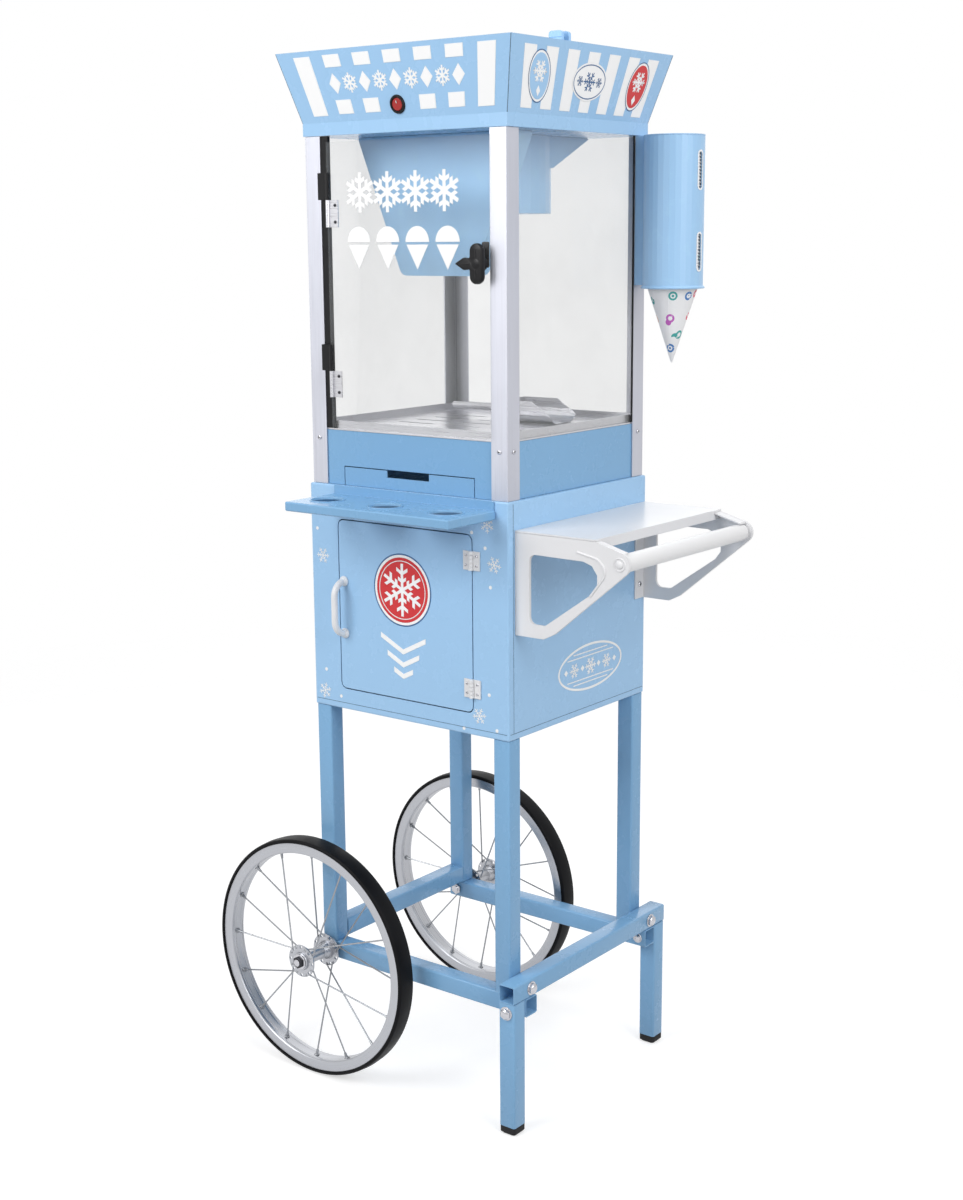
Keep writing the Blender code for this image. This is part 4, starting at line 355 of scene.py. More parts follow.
# Each lamp's place, the height that it aims at, its width and its power in watts
LAMPS = {
    "key": ((-0.8, -2.6, 2.3), 0.95, 1.8, 63.0),
    "fill": ((2.5, -0.6, 2.1), 0.95, 1.8, 46.0),
    "top": ((0.2, 0.3, 3.4), 0.6, 2.4, 24.0),
    "back": ((-1.9, 2.5, 2.0), 0.95, 3.0, 16.0),
}


def add_floor():
    """Pale floor that keeps the shadow near the object and fades into the white ground behind."""
    floor_mesh = bpy.data.meshes.new("floor")
    bm = bmesh.new()
    bmesh.ops.create_grid(bm, x_segments=1, y_segments=1, size=FLOOR_REACH)
    bm.to_mesh(floor_mesh)
    bm.free()
    floor = show(bpy.data.objects.new("floor", floor_mesh))
    floor.location = (0.0, 0.0, -FLOOR_DROP)
    finish = Finish("floor_sweep", FLOOR_COLOUR, 0.9)
    away = finish.node("ShaderNodeVectorMath", {"operation": "LENGTH"}, {0: finish.place}, "Value")
    fade = finish.ramp(away, FLOOR_CLEAR, FLOOR_GONE, 1.0, 0.0)
    finish.feed("Alpha", fade)
    strength = path_seen(finish.tree) * fade * FLOOR_GLOW
    glow = finish.node("ShaderNodeEmission", {}, {"Color": WHITE_LIGHT, "Strength": strength})
    both = finish.tree.nodes.new("ShaderNodeAddShader")
    finish.tree.links.new(finish.shader.outputs[0], both.inputs[0])
    finish.tree.links.new(glow.socket, both.inputs[1])
    finish.tree.links.new(both.outputs[0], finish.tree.nodes["Material Output"].inputs["Surface"])
    floor_mesh.materials.append(finish.material)


def add_world():
    """White surroundings: full strength where they are looked at, less as a light."""
    world = bpy.data.worlds.new("studio")
    world.use_nodes = True
    bpy.context.scene.world = world
    tree = world.node_tree
    strength = path_seen(tree) * (1.0 - WORLD_LIGHT) + WORLD_LIGHT
    sky = tree.nodes["Background"]
    sky.inputs["Color"].default_value = WHITE_LIGHT
    tree.links.new(strength.socket, sky.inputs["Strength"])


def add_lamp(name, place, target_height, width, power):
    data = bpy.data.lights.new(name, "AREA")
    data.shape = "SQUARE"
    data.size = width
    data.energy = power
    lamp = show(bpy.data.objects.new(name, data))
    aim = (Vector((0.0, 0.0, target_height)) - Vector(place)).to_track_quat("-Z", "Y")
    lamp.matrix_world = Matrix.Translation(place) @ aim.to_matrix().to_4x4()


# Mesh helpers
MERGE_REACH = 1e-6


def finished(name, bm, finish, body, smooth=40.0):
    """Makes one piece of the object from a bmesh, in place, riding on its body."""
    bmesh.ops.remove_doubles(bm, verts=bm.verts, dist=MERGE_REACH)
    bmesh.ops.recalc_face_normals(bm, faces=bm.faces)
    mesh = bpy.data.meshes.new(name)
    bm.to_mesh(mesh)
    bm.free()
    mesh.materials.append(finish.material)
    mesh.shade_smooth()
    mesh.set_sharp_from_angle(angle=math.radians(smooth))
    piece = show(bpy.data.objects.new(name, mesh))
    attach(piece, body)
    return piece


def frame_of(place, axis, side=None):
    """A matrix that stands local Z along axis at place, with local X near side."""
    up = Vector(axis).normalized()
    across = Vector(side) if side is not None else (X if abs(up.x) < 0.9 else Y)
    across = (across - up * across.dot(up)).normalized()
    deep = up.cross(across)
    return Matrix.Translation(Vector(place)) @ Matrix((across, deep, up)).transposed().to_4x4()


def absorb(bm, part, matrix):
    """Moves a finished part into place and adds it to a mesh."""
    mesh = bpy.data.meshes.new("part")
    part.to_mesh(mesh)
    part.free()
    mesh.transform(matrix)
    bm.from_mesh(mesh)
    bpy.data.meshes.remove(mesh)


def spun(bm, profile, place, axis, steps, closed=False):
    """Turns a profile of (radius, height) points about an axis."""
    part = bmesh.new()
    points = [part.verts.new((radius, 0.0, height)) for radius, height in profile]
    edges = [part.edges.new(pair) for pair in zip(points, points[1:])]
    if closed:
        edges.append(part.edges.new((points[-1], points[0])))
    bmesh.ops.spin(part, geom=points + edges, cent=(0, 0, 0), axis=(0, 0, 1), dvec=(0, 0, 0),
                   angle=math.tau, steps=steps, use_merge=True, use_duplicate=False)
    absorb(bm, part, frame_of(place, axis))


def prism(bm, sides, radius, height, place, axis, chamfer=0.0, side=None):
    """A many-sided bar with softened rims, standing on its place."""
    part = bmesh.new()
    bmesh.ops.create_cone(part, cap_ends=True, cap_tris=False, segments=sides, radius1=radius,
                          radius2=radius, depth=height)
    bmesh.ops.translate(part, vec=(0, 0, height / 2), verts=part.verts)
    if chamfer:
        rims = [edge for edge in part.edges if abs(edge.verts[0].co.z - edge.verts[1].co.z) < 1e-9]
        bmesh.ops.bevel(part, geom=rims, offset=chamfer, segments=2, profile=0.5, affect="EDGES", material=-1)
    absorb(bm, part, frame_of(place, axis, side))


def frame_of_face(place, outward, upward=Z):
    """A matrix whose local X runs across a face, local Y up it and local Z out of it."""
    out = Vector(outward).normalized()
    up = (Vector(upward) - out * Vector(upward).dot(out)).normalized()
    return Matrix.Translation(Vector(place)) @ Matrix((up.cross(out), up, out)).transposed().to_4x4()


def circle(centre, radius, steps=24, squash=1.0):
    """Points round a circle, or round an ellipse squashed along its second axis."""
    turns = [math.tau * step / steps for step in range(steps)]
    return [(centre[0] + radius * math.cos(turn), centre[1] + radius * squash * math.sin(turn))
            for turn in turns]


def rounded(route, steps=5):
    """Outline from (x, y, radius) corners, with each corner of some radius rounded off."""
    outline = []
    for index, (x, y, radius) in enumerate(route):
        here = Vector((x, y))
        if radius == 0:
            outline.append((x, y))
            continue
        before = (Vector(route[index - 1][:2]) - here).normalized()
        after = (Vector(route[(index + 1) % len(route)][:2]) - here).normalized()
        half = before.angle(after) / 2
        middle = here + (before + after).normalized() * radius / math.sin(half)
        first = here + before * radius / math.tan(half) - middle
        last = here + after * radius / math.tan(half) - middle
        sweep = first.angle_signed(last)
        for step in range(steps + 1):
            point = middle + Matrix.Rotation(-sweep * step / steps, 2) @ first
            outline.append((point.x, point.y))
    return outline


def panel(low_u, low_v, high_u, high_v, bend=0.0, steps=5):
    """Rectangle with rounded corners."""
    return rounded([(low_u, low_v, bend), (high_u, low_v, bend), (high_u, high_v, bend),
                    (low_u, high_v, bend)], steps)


def take_curve(bm, curve, matrix):
    """Adds the solid of a curve to a mesh."""
    holder = show(bpy.data.objects.new(curve.name, curve))
    bpy.context.view_layer.update()
    mesh = bpy.data.meshes.new_from_object(holder.evaluated_get(bpy.context.evaluated_depsgraph_get()))
    mesh.transform(matrix)
    bm.from_mesh(mesh)
    bpy.data.objects.remove(holder, do_unlink=True)
    bpy.data.curves.remove(curve)
    bpy.data.meshes.remove(mesh)


def plate(bm, loops, low, high, matrix, soft=0.0):
    """Adds a flat piece with softened rims. Its outline and holes are loops in the matrix's XY plane."""
    curve = bpy.data.curves.new("plate", "CURVE")
    curve.dimensions = "2D"
    curve.fill_mode = "BOTH"
    curve.extrude = (high - low) / 2 - soft
    curve.bevel_depth = soft
    curve.bevel_resolution = 1
    curve.offset = -soft
    for loop in loops:
        spline = curve.splines.new("POLY")
        spline.points.add(len(loop) - 1)
        for point, (u, v) in zip(spline.points, loop):
            point.co = (u, v, 0.0, 1.0)
        spline.use_cyclic_u = True
    take_curve(bm, curve, matrix @ Matrix.Translation((0.0, 0.0, (low + high) / 2)))


def wire(bm, points, radius, detail=3):
    """Adds a round bar along a route."""
    curve = bpy.data.curves.new("wire", "CURVE")
    curve.dimensions = "3D"
    curve.bevel_depth = radius
    curve.bevel_resolution = detail
    curve.use_fill_caps = True
    spline = curve.splines.new("POLY")
    spline.points.add(len(points) - 1)
    for point, place in zip(spline.points, points):
        point.co = (*place, 1.0)
    take_curve(bm, curve, Matrix.Identity(4))


def bar(bm, start, end, radius, steps=10, end_radius=None):
    """Adds a straight round bar with closed ends."""
    start, end = Vector(start), Vector(end)
    part = bmesh.new()
    bmesh.ops.create_cone(part, cap_ends=True, cap_tris=False, segments=steps, radius1=radius,
                          radius2=radius if end_radius is None else end_radius, depth=(end - start).length)
    absorb(bm, part, frame_of((start + end) / 2, end - start))


def dome(bm, place, axis, radius, height, steps=20, rings=5):
    """Adds a low dome that stands on a face."""
    turns = [math.pi / 2 * step / rings for step in range(rings)]
    profile = [(radius * math.cos(turn), height * math.sin(turn)) for turn in turns]
    spun(bm, [(0.0, 0.0), *profile, (0.0, height)], place, axis, steps)


def bolt(bm, place, axis, radius, height):
    """Adds a washer, a chamfered hexagon and its crown."""
    out = Vector(axis).normalized()
    washer = height * 0.2
    prism(bm, 28, radius * 1.18, washer, place, out, washer * 0.3)
    prism(bm, 6, radius, height * 0.5, Vector(place) + out * washer, out, height * 0.08)
    dome(bm, Vector(place) + out * (washer + height * 0.45), out, radius * 0.84, height * 0.35)


def screw(heads, recess_shades, place, axis, radius, turn=0.4):
    """Adds a pan head to one mesh, and to another the dark cross that is painted shade of its recess."""
    out = Vector(axis).normalized()
    height = radius * 0.62
    profile = [(0.0, 0.0), (radius, 0.0), (radius, height * 0.35), (radius * 0.86, height * 0.8),
               (radius * 0.6, height), (0.0, height)]
    spun(heads, profile, place, out, steps=20)
    matrix = frame_of(Vector(place) + out * height, out) @ Matrix.Rotation(turn, 4, "Z")
    reach, half = radius * 0.5, radius * 0.11
    cross = [(reach, -half), (reach, half), (half, half), (half, reach), (-half, reach), (-half, half),
             (-reach, half), (-reach, -half), (-half, -half), (-half, -reach), (half, -reach), (half, -half)]
    # black cross plate: painted shade of the cross recess
    plate(recess_shades, [cross], -radius * 0.1, radius * 0.03, matrix)


def add_screws(name, body, places, axis, radius, finish=None):
    """One set of like screws with the painted shade of their recesses."""
    heads, recess_shades = bmesh.new(), bmesh.new()
    for index, place in enumerate(places):
        screw(heads, recess_shades, place, axis, radius, 0.35 + 0.9 * index)
    finished(name + "_screws", heads, finish or chrome, body)
    # black plastic crosses: painted shade of the recesses
    finished(name + "_screw_recess_shades", recess_shades, black_plastic, body)


# Prints
PRINT_LIFT = 0.00002
PRINT_GAUGE = 0.00022


def flat_face(place, outward):
    """Surface for prints on a flat face, in the coordinates of frame_of_face."""
    matrix = frame_of_face(place, outward)
    return lambda u, v, lift: matrix @ Vector((u, v, lift))


def decal(bm, loop, surface):
    """Adds a thin print in the shape of a loop; surface gives the place of (u, v, lift)."""
    low = [bm.verts.new(surface(u, v, PRINT_LIFT)) for u, v in loop]
    high = [bm.verts.new(surface(u, v, PRINT_GAUGE)) for u, v in loop]
    bm.faces.new(high)
    bm.faces.new(low[::-1])
    for index in range(len(loop)):
        after = (index + 1) % len(loop)
        bm.faces.new((low[index], low[after], high[after], high[index]))


def decal_ring(bm, outer, inner, surface):
    """Adds a thin print between two loops of as many points."""
    rings = [[bm.verts.new(surface(u, v, lift)) for u, v in loop]
             for loop, lift in ((outer, PRINT_LIFT), (outer, PRINT_GAUGE), (inner, PRINT_GAUGE),
                                (inner, PRINT_LIFT))]
    for first, second in zip(rings, rings[1:] + rings[:1]):
        for index in range(len(outer)):
            after = (index + 1) % len(outer)
            bm.faces.new((first[index], first[after], second[after], second[index]))


FINE_TWIGS = ((0.66, 0.24), (0.36, 0.15))
BOLD_TWIGS = ((0.56, 0.26),)


def snowflake(centre, reach, width=0.11, turn=0.0, twigs=FINE_TWIGS):
    """Outline of a six-armed flake with pairs of twigs, given as (root, length), on each arm."""
    half = reach * width / 2
    slope = math.radians(60)
    root_half = half / math.sin(slope)
    side = [(reach, half)]
    for root, length in twigs:
        root_u = reach * root
        tip_u = root_u + length * reach * math.cos(slope)
        tip_v = half + length * reach * math.sin(slope)
        side += [(root_u + root_half, half), (tip_u + root_half, tip_v), (tip_u - root_half, tip_v),
                 (root_u - root_half, half)]
    crotch = (half / math.tan(math.radians(30)), half)
    arm = [*[(u, -v) for u, v in reversed(side)], *side, crotch]
    outline = []
    for index in range(6):
        angle = math.radians(60) * index + turn
        for u, v in arm:
            outline.append((centre[0] + u * math.cos(angle) - v * math.sin(angle),
                            centre[1] + u * math.sin(angle) + v * math.cos(angle)))
    return outline


def lozenge(centre, half_u, half_v):
    u, v = centre
    return [(u - half_u, v), (u, v - half_v), (u + half_u, v), (u, v + half_v)]


# The finishes in use
paint = gloss_paint("sky_paint", SKY)
# painted shade: the same sky paint made darker for parts that lie in shade
shaded_paint = gloss_paint("shaded_paint", SHADED_SKY)
white_paint = gloss_paint("white_paint", (0.75, 0.75, 0.765), 0.30)
white_plastic = moulded_plastic("white_plastic", (0.78, 0.78, 0.79), 0.34)
blue_plastic = moulded_plastic("sky_plastic", SKY, 0.36)
# painted light: sky plastic made lighter for the drum and chute in the kiosk's shade
brightened_plastic = moulded_plastic("brightened_plastic", BRIGHTENED_SKY, 0.34)
black_rubber = moulded_plastic("black_rubber", (0.012, 0.012, 0.013), 0.62, gleam=0.25)
black_plastic = moulded_plastic("black_plastic", (0.006, 0.006, 0.007), 0.32, gleam=0.22)
red_plastic = moulded_plastic("red_plastic", (0.36, 0.012, 0.010), 0.22)
post_metal = rolled_metal("post_metal", (0.56, 0.57, 0.63), 0.42, (900.0, 900.0, 9.0))
bright_steel = rolled_metal("bright_steel", (0.62, 0.62, 0.65), 0.28, (12.0, 900.0, 900.0))
dark_steel = rolled_metal("dark_steel", (0.045, 0.046, 0.052), 0.34, (900.0, 900.0, 12.0))
spoke_steel = rolled_metal("spoke_steel", (0.33, 0.34, 0.36), 0.34, (60.0, 60.0, 60.0))
chrome = rolled_metal("chrome", (0.54, 0.54, 0.57), 0.16, (160.0, 160.0, 160.0), 0.04)
clear = clear_sheet()
paper = printed_paper()
AXLE = middle_of("front_tyre")
wheel_metal = ringed_metal("wheel_metal", (0.46, 0.47, 0.50), 0.30, AXLE, 2200.0)
tyre_finish = tyre_rubber(AXLE)
seam_shade = gloss_paint("seam_shade", (0.10, 0.17, 0.25))
print_white = gloss_paint("print_white", (0.93, 0.93, 0.93), 0.34)
print_red = gloss_paint("print_red", (0.62, 0.035, 0.04), 0.34)
print_blue = gloss_paint("print_blue", (0.045, 0.13, 0.30), 0.34)

SLOT_FINISH = {
    "sky_blue_enamel": paint,
    "sky_blue_plastic": blue_plastic,
    "white_enamel": white_paint,
    "white_plastic": white_plastic,
    "black_rubber": black_rubber,
    "tyre": tyre_finish,
    "black_plastic": black_plastic,
    "red_plastic": red_plastic,
    "aluminium": post_metal,
    "wheel_metal": wheel_metal,
    "steel": bright_steel,
    "chrome": chrome,
    "clear_glass": clear,
    "paper": paper,
}

NODE_FINISH = {
    # painted shade: the darker copy of the sky paint
    "cone_rack": shaded_paint,
    "kiosk_base": shaded_paint,
    "drip_drawer": shaded_paint,
    # painted light: the lighter copy of the sky blue, inside the kiosk
    "motor_drum": brightened_plastic,
    "discharge_chute": brightened_plastic,
}


def dress_nodes():
    """Gives every CAD node its own procedural finish, or else the one of its slot."""
    slot_of = {row["node"]: row["material_slot"] for row in frame["record"]["subparts"]}
    for name, thing in frame["nodes"].items():
        finish = NODE_FINISH.get(name, SLOT_FINISH[slot_of[name]])
        for place in thing.material_slots:
            place.material = finish.material


# Cart frame
TUBE = 0.025
TUBE_WALL = 0.0015
TUBE_BEND = 0.0028
TUBE_SOFT = 0.0003
SEAT = 0.0003
BEAD = 0.0007
BEAD_INSET = 0.002
CAP_PLUG = 0.018
BOLT_HEAD = (0.0078, 0.0070)
BOLT_NUT = (0.0062, 0.0042)
LEGS = [f"{depth}_{side}_leg" for depth in ("front", "rear") for side in ("left", "right")]


def tube(bm, low, high, axis):
    """Adds an open square tube with rounded corners between two corners, along X (0), Y (1) or Z (2)."""
    low, high = Vector(low), Vector(high)
    along, side = ((X, Y), (Y, X), (Z, X))[axis]
    size = high - low
    u = abs(size.dot(side)) / 2
    v = abs(size.dot(along.cross(side))) / 2
    half = abs(size.dot(along)) / 2
    outer = panel(-u, -v, u, v, TUBE_BEND)
    bore = panel(TUBE_WALL - u, TUBE_WALL - v, u - TUBE_WALL, v - TUBE_WALL, TUBE_BEND - TUBE_WALL, 3)
    plate(bm, [outer, bore], -half, half, frame_of((low + high) / 2, along, side), TUBE_SOFT)


def build_frame_tubes():
    for node, axis in (*[(leg, 2) for leg in LEGS], ("left_side_rail", 1), ("front_cross_rail", 0),
                       ("rear_cross_rail", 0)):
        bm = bmesh.new()
        tube(bm, *corners(node), axis)
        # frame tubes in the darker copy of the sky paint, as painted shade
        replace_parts(finished(node + "_tube", bm, shaded_paint, "chassis"), node)


def build_stand():
    """Stand of a side rail and two short legs, the frame's bolts, and the weld beads of stand and legs."""
    rail_low, rail_high = corners("front_cross_rail")
    front_low, front_high = corners("front_foot_cap")
    rear_low, rear_high = corners("rear_foot_cap")
    under = rail_high.z + SEAT
    top = rail_high.z + TUBE
    foot = front_high.z - CAP_PLUG
    bm = bmesh.new()
    tube(bm, (front_low.x, front_low.y, under), (front_high.x, rear_high.y, top), 1)
    for low, high in ((front_low, front_high), (rear_low, rear_high)):
        tube(bm, (low.x, low.y, foot), (high.x, high.y, under), 2)
        for x in (low.x + BEAD / 2, high.x - BEAD / 2):
            wire(bm, [(x, low.y + BEAD_INSET, under), (x, high.y - BEAD_INSET, under)], BEAD, detail=1)
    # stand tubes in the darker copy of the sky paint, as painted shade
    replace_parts(finished("stand_tubes", bm, shaded_paint, "chassis"), "stand")
    bolts = bmesh.new()
    level = rail_high.z + TUBE / 2
    lower = (rail_low.z + rail_high.z) / 2
    leg_x = (front_low.x + front_high.x) / 2
    for low, high, out in ((front_low, front_high, -1), (rear_low, rear_high, 1)):
        inner = high.y if out < 0 else low.y
        outer = low.y if out < 0 else high.y
        leg_y = inner - out * TUBE / 2
        back = inner - out * (TUBE + 2 * SEAT)
        bolt(bolts, (front_high.x, leg_y, level), X, *BOLT_HEAD)
        bolt(bolts, (front_low.x - TUBE - 2 * SEAT, leg_y, level), -X, *BOLT_NUT)
        bolt(bolts, (leg_x, outer, lower), Y * out, *BOLT_HEAD)
        bolt(bolts, (leg_x, back, lower), Y * -out, *BOLT_NUT)
    finished("frame_bolts", bolts, chrome, "chassis")
    beads = bmesh.new()
    for name in LEGS:
        low, high = corners(name)
        for y in (low.y + BEAD / 2, high.y - BEAD / 2):
            wire(beads, [(low.x + BEAD_INSET, y, low.z), (high.x - BEAD_INSET, y, low.z)], BEAD, detail=1)
    # weld beads in the darker copy of the sky paint, as painted shade
    finished("leg_welds", beads, shaded_paint, "chassis")


def build_foot_rubbers():
    """Rubber caps: a foot, a narrower sole and the plug inside the leg."""
    grip = 0.0107
    step = 0.0022
    layers = ((0.0, step, grip, 0.004), (step, 0.0, 0.003, 0.004), (0.0019, grip - 0.001, None, 0.0012))
    for depth in ("front", "rear"):
        low, high = corners(depth + "_foot_cap")
        floor = Matrix.Translation(over(depth + "_foot_cap", 0.0))
        u, v = (high.x - low.x) / 2, (high.y - low.y) / 2
        bm = bmesh.new()
        for inset, bottom, top, bend in layers:
            outline = panel(inset - u, inset - v, u - inset, v - inset, bend)
            plate(bm, [outline], bottom, high.z if top is None else top, floor, soft=0.0005)
        rubber = finished(depth + "_foot_rubber", bm, black_rubber, "chassis")
        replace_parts(rubber, depth + "_foot_cap")


# Wheels
WHEEL_RADIUS = 0.170
RIM_OUTER = 0.164
RIM_INNER = 0.1485
RIM_WELL = 0.1581
RIM_HALF = 0.0125
RIM_SEAT = 0.0103
TYRE_HALF = 0.0145
TYRE_SHOULDER = 0.0034
HUB_HALF = 0.029
HUB_FLANGE = 0.025
HUB_FLANGE_RADIUS = 0.023
HUB_FLANGE_HALF = 0.0013
SPOKE_CIRCLE = 0.020
SPOKE_HOLE = 0.0022
SPOKES = 16
SPOKE_LEAD = math.radians(42)
SPOKE_RADIUS = 0.0011
HEAD_LIFT = 0.0004
NIPPLE_FOOT = 0.0021
NIPPLE_TIP = 0.0017
NIPPLE_BURIED = 0.002
NIPPLE_ROOT = 0.003
NIPPLE_LENGTH = 0.007
ELBOW_IN = 0.0008
ELBOW_BACK = 0.0016
AXLE_RADIUS = 0.0049
NUT_RADIUS = 0.0088
NUT_HEIGHT = 0.0033
WASHER = 0.0012
SPACER = 0.0039
WHEEL_STEPS = 128


def mirrored(half):
    return half + [(radius, -offset) for radius, offset in reversed(half) if offset != 0.0]


def build_tyre(depth):
    """Solid tyre with rounded shoulders, seated in the rim."""
    seat_half = RIM_SEAT - SEAT
    profile = rounded([(RIM_WELL + SEAT, seat_half, 0), (RIM_OUTER + SEAT, seat_half, 0),
                       (RIM_OUTER + SEAT, TYRE_HALF - 0.0004, 0.0005),
                       (WHEEL_RADIUS - 0.0012, TYRE_HALF, TYRE_SHOULDER), (WHEEL_RADIUS, 0.0, 0)], 6)
    bm = bmesh.new()
    spun(bm, mirrored(profile), middle_of(depth + "_tyre"), Y, steps=WHEEL_STEPS, closed=True)
    tyre = finished(depth + "_tyre_rubber", bm, tyre_finish, depth + "_wheel_set", 50.0)
    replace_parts(tyre, depth + "_tyre")


def add_spoke(bm, centre, index):
    """Crossed spoke with its head, elbow, nipple and the ferrule in the rim."""
    at_rim = math.tau * index / SPOKES
    at_hub = at_rim + (SPOKE_LEAD if index % 4 < 2 else -SPOKE_LEAD)
    out = Y if index % 2 == 0 else -Y
    hole = centre + Vector((SPOKE_CIRCLE * math.cos(at_hub), 0.0, SPOKE_CIRCLE * math.sin(at_hub)))
    hub = hole + out * (HUB_FLANGE - HUB_FLANGE_HALF)
    face = hole + out * (HUB_FLANGE + HUB_FLANGE_HALF)
    head = face + out * HEAD_LIFT
    radial = Vector((math.cos(at_rim), 0.0, math.sin(at_rim)))
    rim = centre + radial * RIM_INNER
    inward = (hub - rim).normalized()
    elbow = hub - out * ELBOW_IN - inward * ELBOW_BACK
    wire(bm, [head, hub, elbow, rim - inward * NIPPLE_BURIED], SPOKE_RADIUS, detail=2)
    dome(bm, face, out, radius=0.0019, height=0.0011, steps=12, rings=3)
    bar(bm, rim - inward * NIPPLE_ROOT, rim + inward * NIPPLE_LENGTH, NIPPLE_FOOT, 10, NIPPLE_TIP)
    ferrule = [(0.0, 0.0), (0.0038, 0.0), (0.0034, 0.0007), (0.0, 0.0009)]
    spun(bm, ferrule, rim + radial * HEAD_LIFT, -radial, steps=14)


def build_wheel(depth):
    """Rolled rim, turned hub with drilled flanges and sixteen crossed spokes."""
    centre = middle_of(depth + "_tyre")
    rim = rounded([(RIM_WELL, RIM_SEAT, 0), (RIM_OUTER, RIM_SEAT, 0.0003), (RIM_OUTER, RIM_HALF, 0.0009),
                   (RIM_INNER + 0.0010, RIM_HALF, 0.0026), (RIM_INNER, RIM_HALF - 0.006, 0.003),
                   (RIM_INNER + 0.0012, 0.0, 0)], 4)
    bm = bmesh.new()
    spun(bm, mirrored(rim), centre, Y, steps=WHEEL_STEPS, closed=True)
    barrel = rounded([(0.0055, HUB_HALF, 0), (0.0125, HUB_HALF, 0.0012), (0.0128, HUB_FLANGE, 0),
                      (0.0125, HUB_FLANGE - 0.004, 0.002), (0.0092, HUB_FLANGE - 0.012, 0.003),
                      (0.0090, 0.0, 0)], 4)
    spun(bm, mirrored(barrel), centre, Y, steps=40, closed=True)
    bore = circle((0, 0), 0.0122, 40)
    holes_each = SPOKES // 2
    for out, start in ((-Y, 0.0), (Y, math.pi / holes_each)):
        turns = [start + math.tau * step / holes_each for step in range(holes_each)]
        holes = [circle((SPOKE_CIRCLE * math.cos(turn), SPOKE_CIRCLE * math.sin(turn)), SPOKE_HOLE, 12)
                 for turn in turns]
        place = frame_of(centre + out * HUB_FLANGE, out, X)
        plate(bm, [circle((0, 0), HUB_FLANGE_RADIUS, 64), bore, *holes], -HUB_FLANGE_HALF, HUB_FLANGE_HALF,
              place, soft=0.0004)
    spokes = bmesh.new()
    for index in range(SPOKES):
        add_spoke(spokes, centre, index)
    wheel = finished(depth + "_wire_wheel", bm, wheel_metal, depth + "_wheel_set")
    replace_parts(wheel, depth + "_wheel")
    finished(depth + "_spokes", spokes, spoke_steel, depth + "_wheel_set")


def build_axle(depth):
    """Axle with a washer and a domed nut outside the hub, a spacer behind it and a nut inside the rail."""
    low, high = corners(depth + "_axle")
    centre = (low + high) / 2
    side = -1 if depth == "front" else 1
    wheel = middle_of(depth + "_tyre")
    end = low.y if side < 0 else high.y
    start = high.y if side < 0 else low.y
    hub_out = wheel.y + side * (HUB_HALF + SEAT)
    hub_in = wheel.y - side * (HUB_HALF + SEAT)
    out = Y * side

    def at(y):
        return Vector((centre.x, y, centre.z))

    bm = bmesh.new()
    bar(bm, at(start), at(end - side * SEAT), AXLE_RADIUS, steps=24)
    washer = rounded([(0.0, 0.0, 0), (0.0112, 0.0, 0.0003), (0.0112, WASHER, 0.0004), (0.0, WASHER, 0)], 2)
    spun(bm, washer, at(hub_out), out, steps=36)
    bar(bm, at(hub_in - side * SPACER), at(hub_in), NUT_RADIUS, steps=32)
    prism(bm, 6, NUT_RADIUS, 0.0030, at(start + side * 0.0015), out, chamfer=0.0006)
    axle = finished(depth + "_axle_bolt", bm, chrome, "chassis")
    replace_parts(axle, depth + "_axle")
    nut = bmesh.new()
    prism(nut, 6, NUT_RADIUS, NUT_HEIGHT, at(hub_out + side * WASHER), out, chamfer=0.0005)
    dome(nut, at(hub_out + side * (WASHER + NUT_HEIGHT - 0.0001)), out, radius=0.0068, height=0.0011)
    finished(depth + "_hub_nut", nut, dark_steel, "chassis")


def build_running_gear():
    for depth in ("front", "rear"):
        build_tyre(depth)
        build_wheel(depth)
        build_axle(depth)


# Storage cabinet
FLAKE_PLACES = [(-0.145, 0.732), (-0.147, 0.545), (0.132, 0.799), (0.143, 0.749), (0.118, 0.551)]
DOT_PLACES = [(-0.154, 0.768), (-0.144, 0.575), (-0.118, 0.541), (0.108, 0.787), (0.129, 0.769),
              (0.137, 0.720), (0.134, 0.581), (0.093, 0.531), (0.146, 0.536)]
FLAKE_REACH = 0.011
DOT_RADIUS = 0.0024
BADGE_CENTRE = (-0.007, 0.700)
BADGE_RADIUS = 0.043
BADGE_WHITE_EDGE = 0.0035
BADGE_DARK_EDGE = 0.0053
BADGE_INNER_LINE = (0.004, 0.0052)
BADGE_FLAKE_INSET = 0.008
CHEVRONS = [(0.060, 0.038), (0.083, 0.027), (0.104, 0.016)]
CHEVRON_BAND = 0.007
OVAL_CENTRE = (0.025, 0.588)
OVAL_HALF = 0.075
OVAL_SQUASH = 0.42
OVAL_LINE = 0.0032
OVAL_BAR = 0.0008
OVAL_BARS = [(0.0205, 0.040), (0.0150, 0.054)]
OVAL_FLAKES = [(-0.038, 0.0105), (0.0, 0.0125), (0.038, 0.0105)]
OVAL_LOZENGES = [-0.019, 0.019, -0.057, 0.057]
OVAL_LOZENGE_HALF = 0.0042
RATING_SHIFT = 0.07
RATING_RISE = 0.10
RATING_U = 0.036
RATING_V = 0.021
RATING_GAUGE = 0.0008


def build_door_pull():
    """D-shaped pull on two round feet."""
    low, high = corners("door_pull")
    foot = 0.007
    bow_radius = 0.0045
    sunk = high.y - 0.001
    x = (low.x + high.x) / 2
    reach = low.y + bow_radius + 0.0001
    bottom, top = low.z + foot, high.z - foot
    bend = 0.019
    route = rounded([(sunk, bottom, 0), (reach, bottom, bend), (reach, top, bend), (sunk, top, 0)], 12)
    bm = bmesh.new()
    wire(bm, [(x, y, z) for y, z in route], bow_radius, detail=6)
    flare = rounded([(0.0, 0.0, 0), (foot, 0.0, 0.0004), (foot, 0.0016, 0.0006), (0.0048, 0.0052, 0.002),
                     (0.0, 0.0058, 0)], 4)
    for z in (bottom, top):
        spun(bm, flare, (x, high.y, z), -Y, steps=32)
    pull = finished("door_pull_bow", bm, white_plastic, "storage_door_set")
    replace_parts(pull, "door_pull")


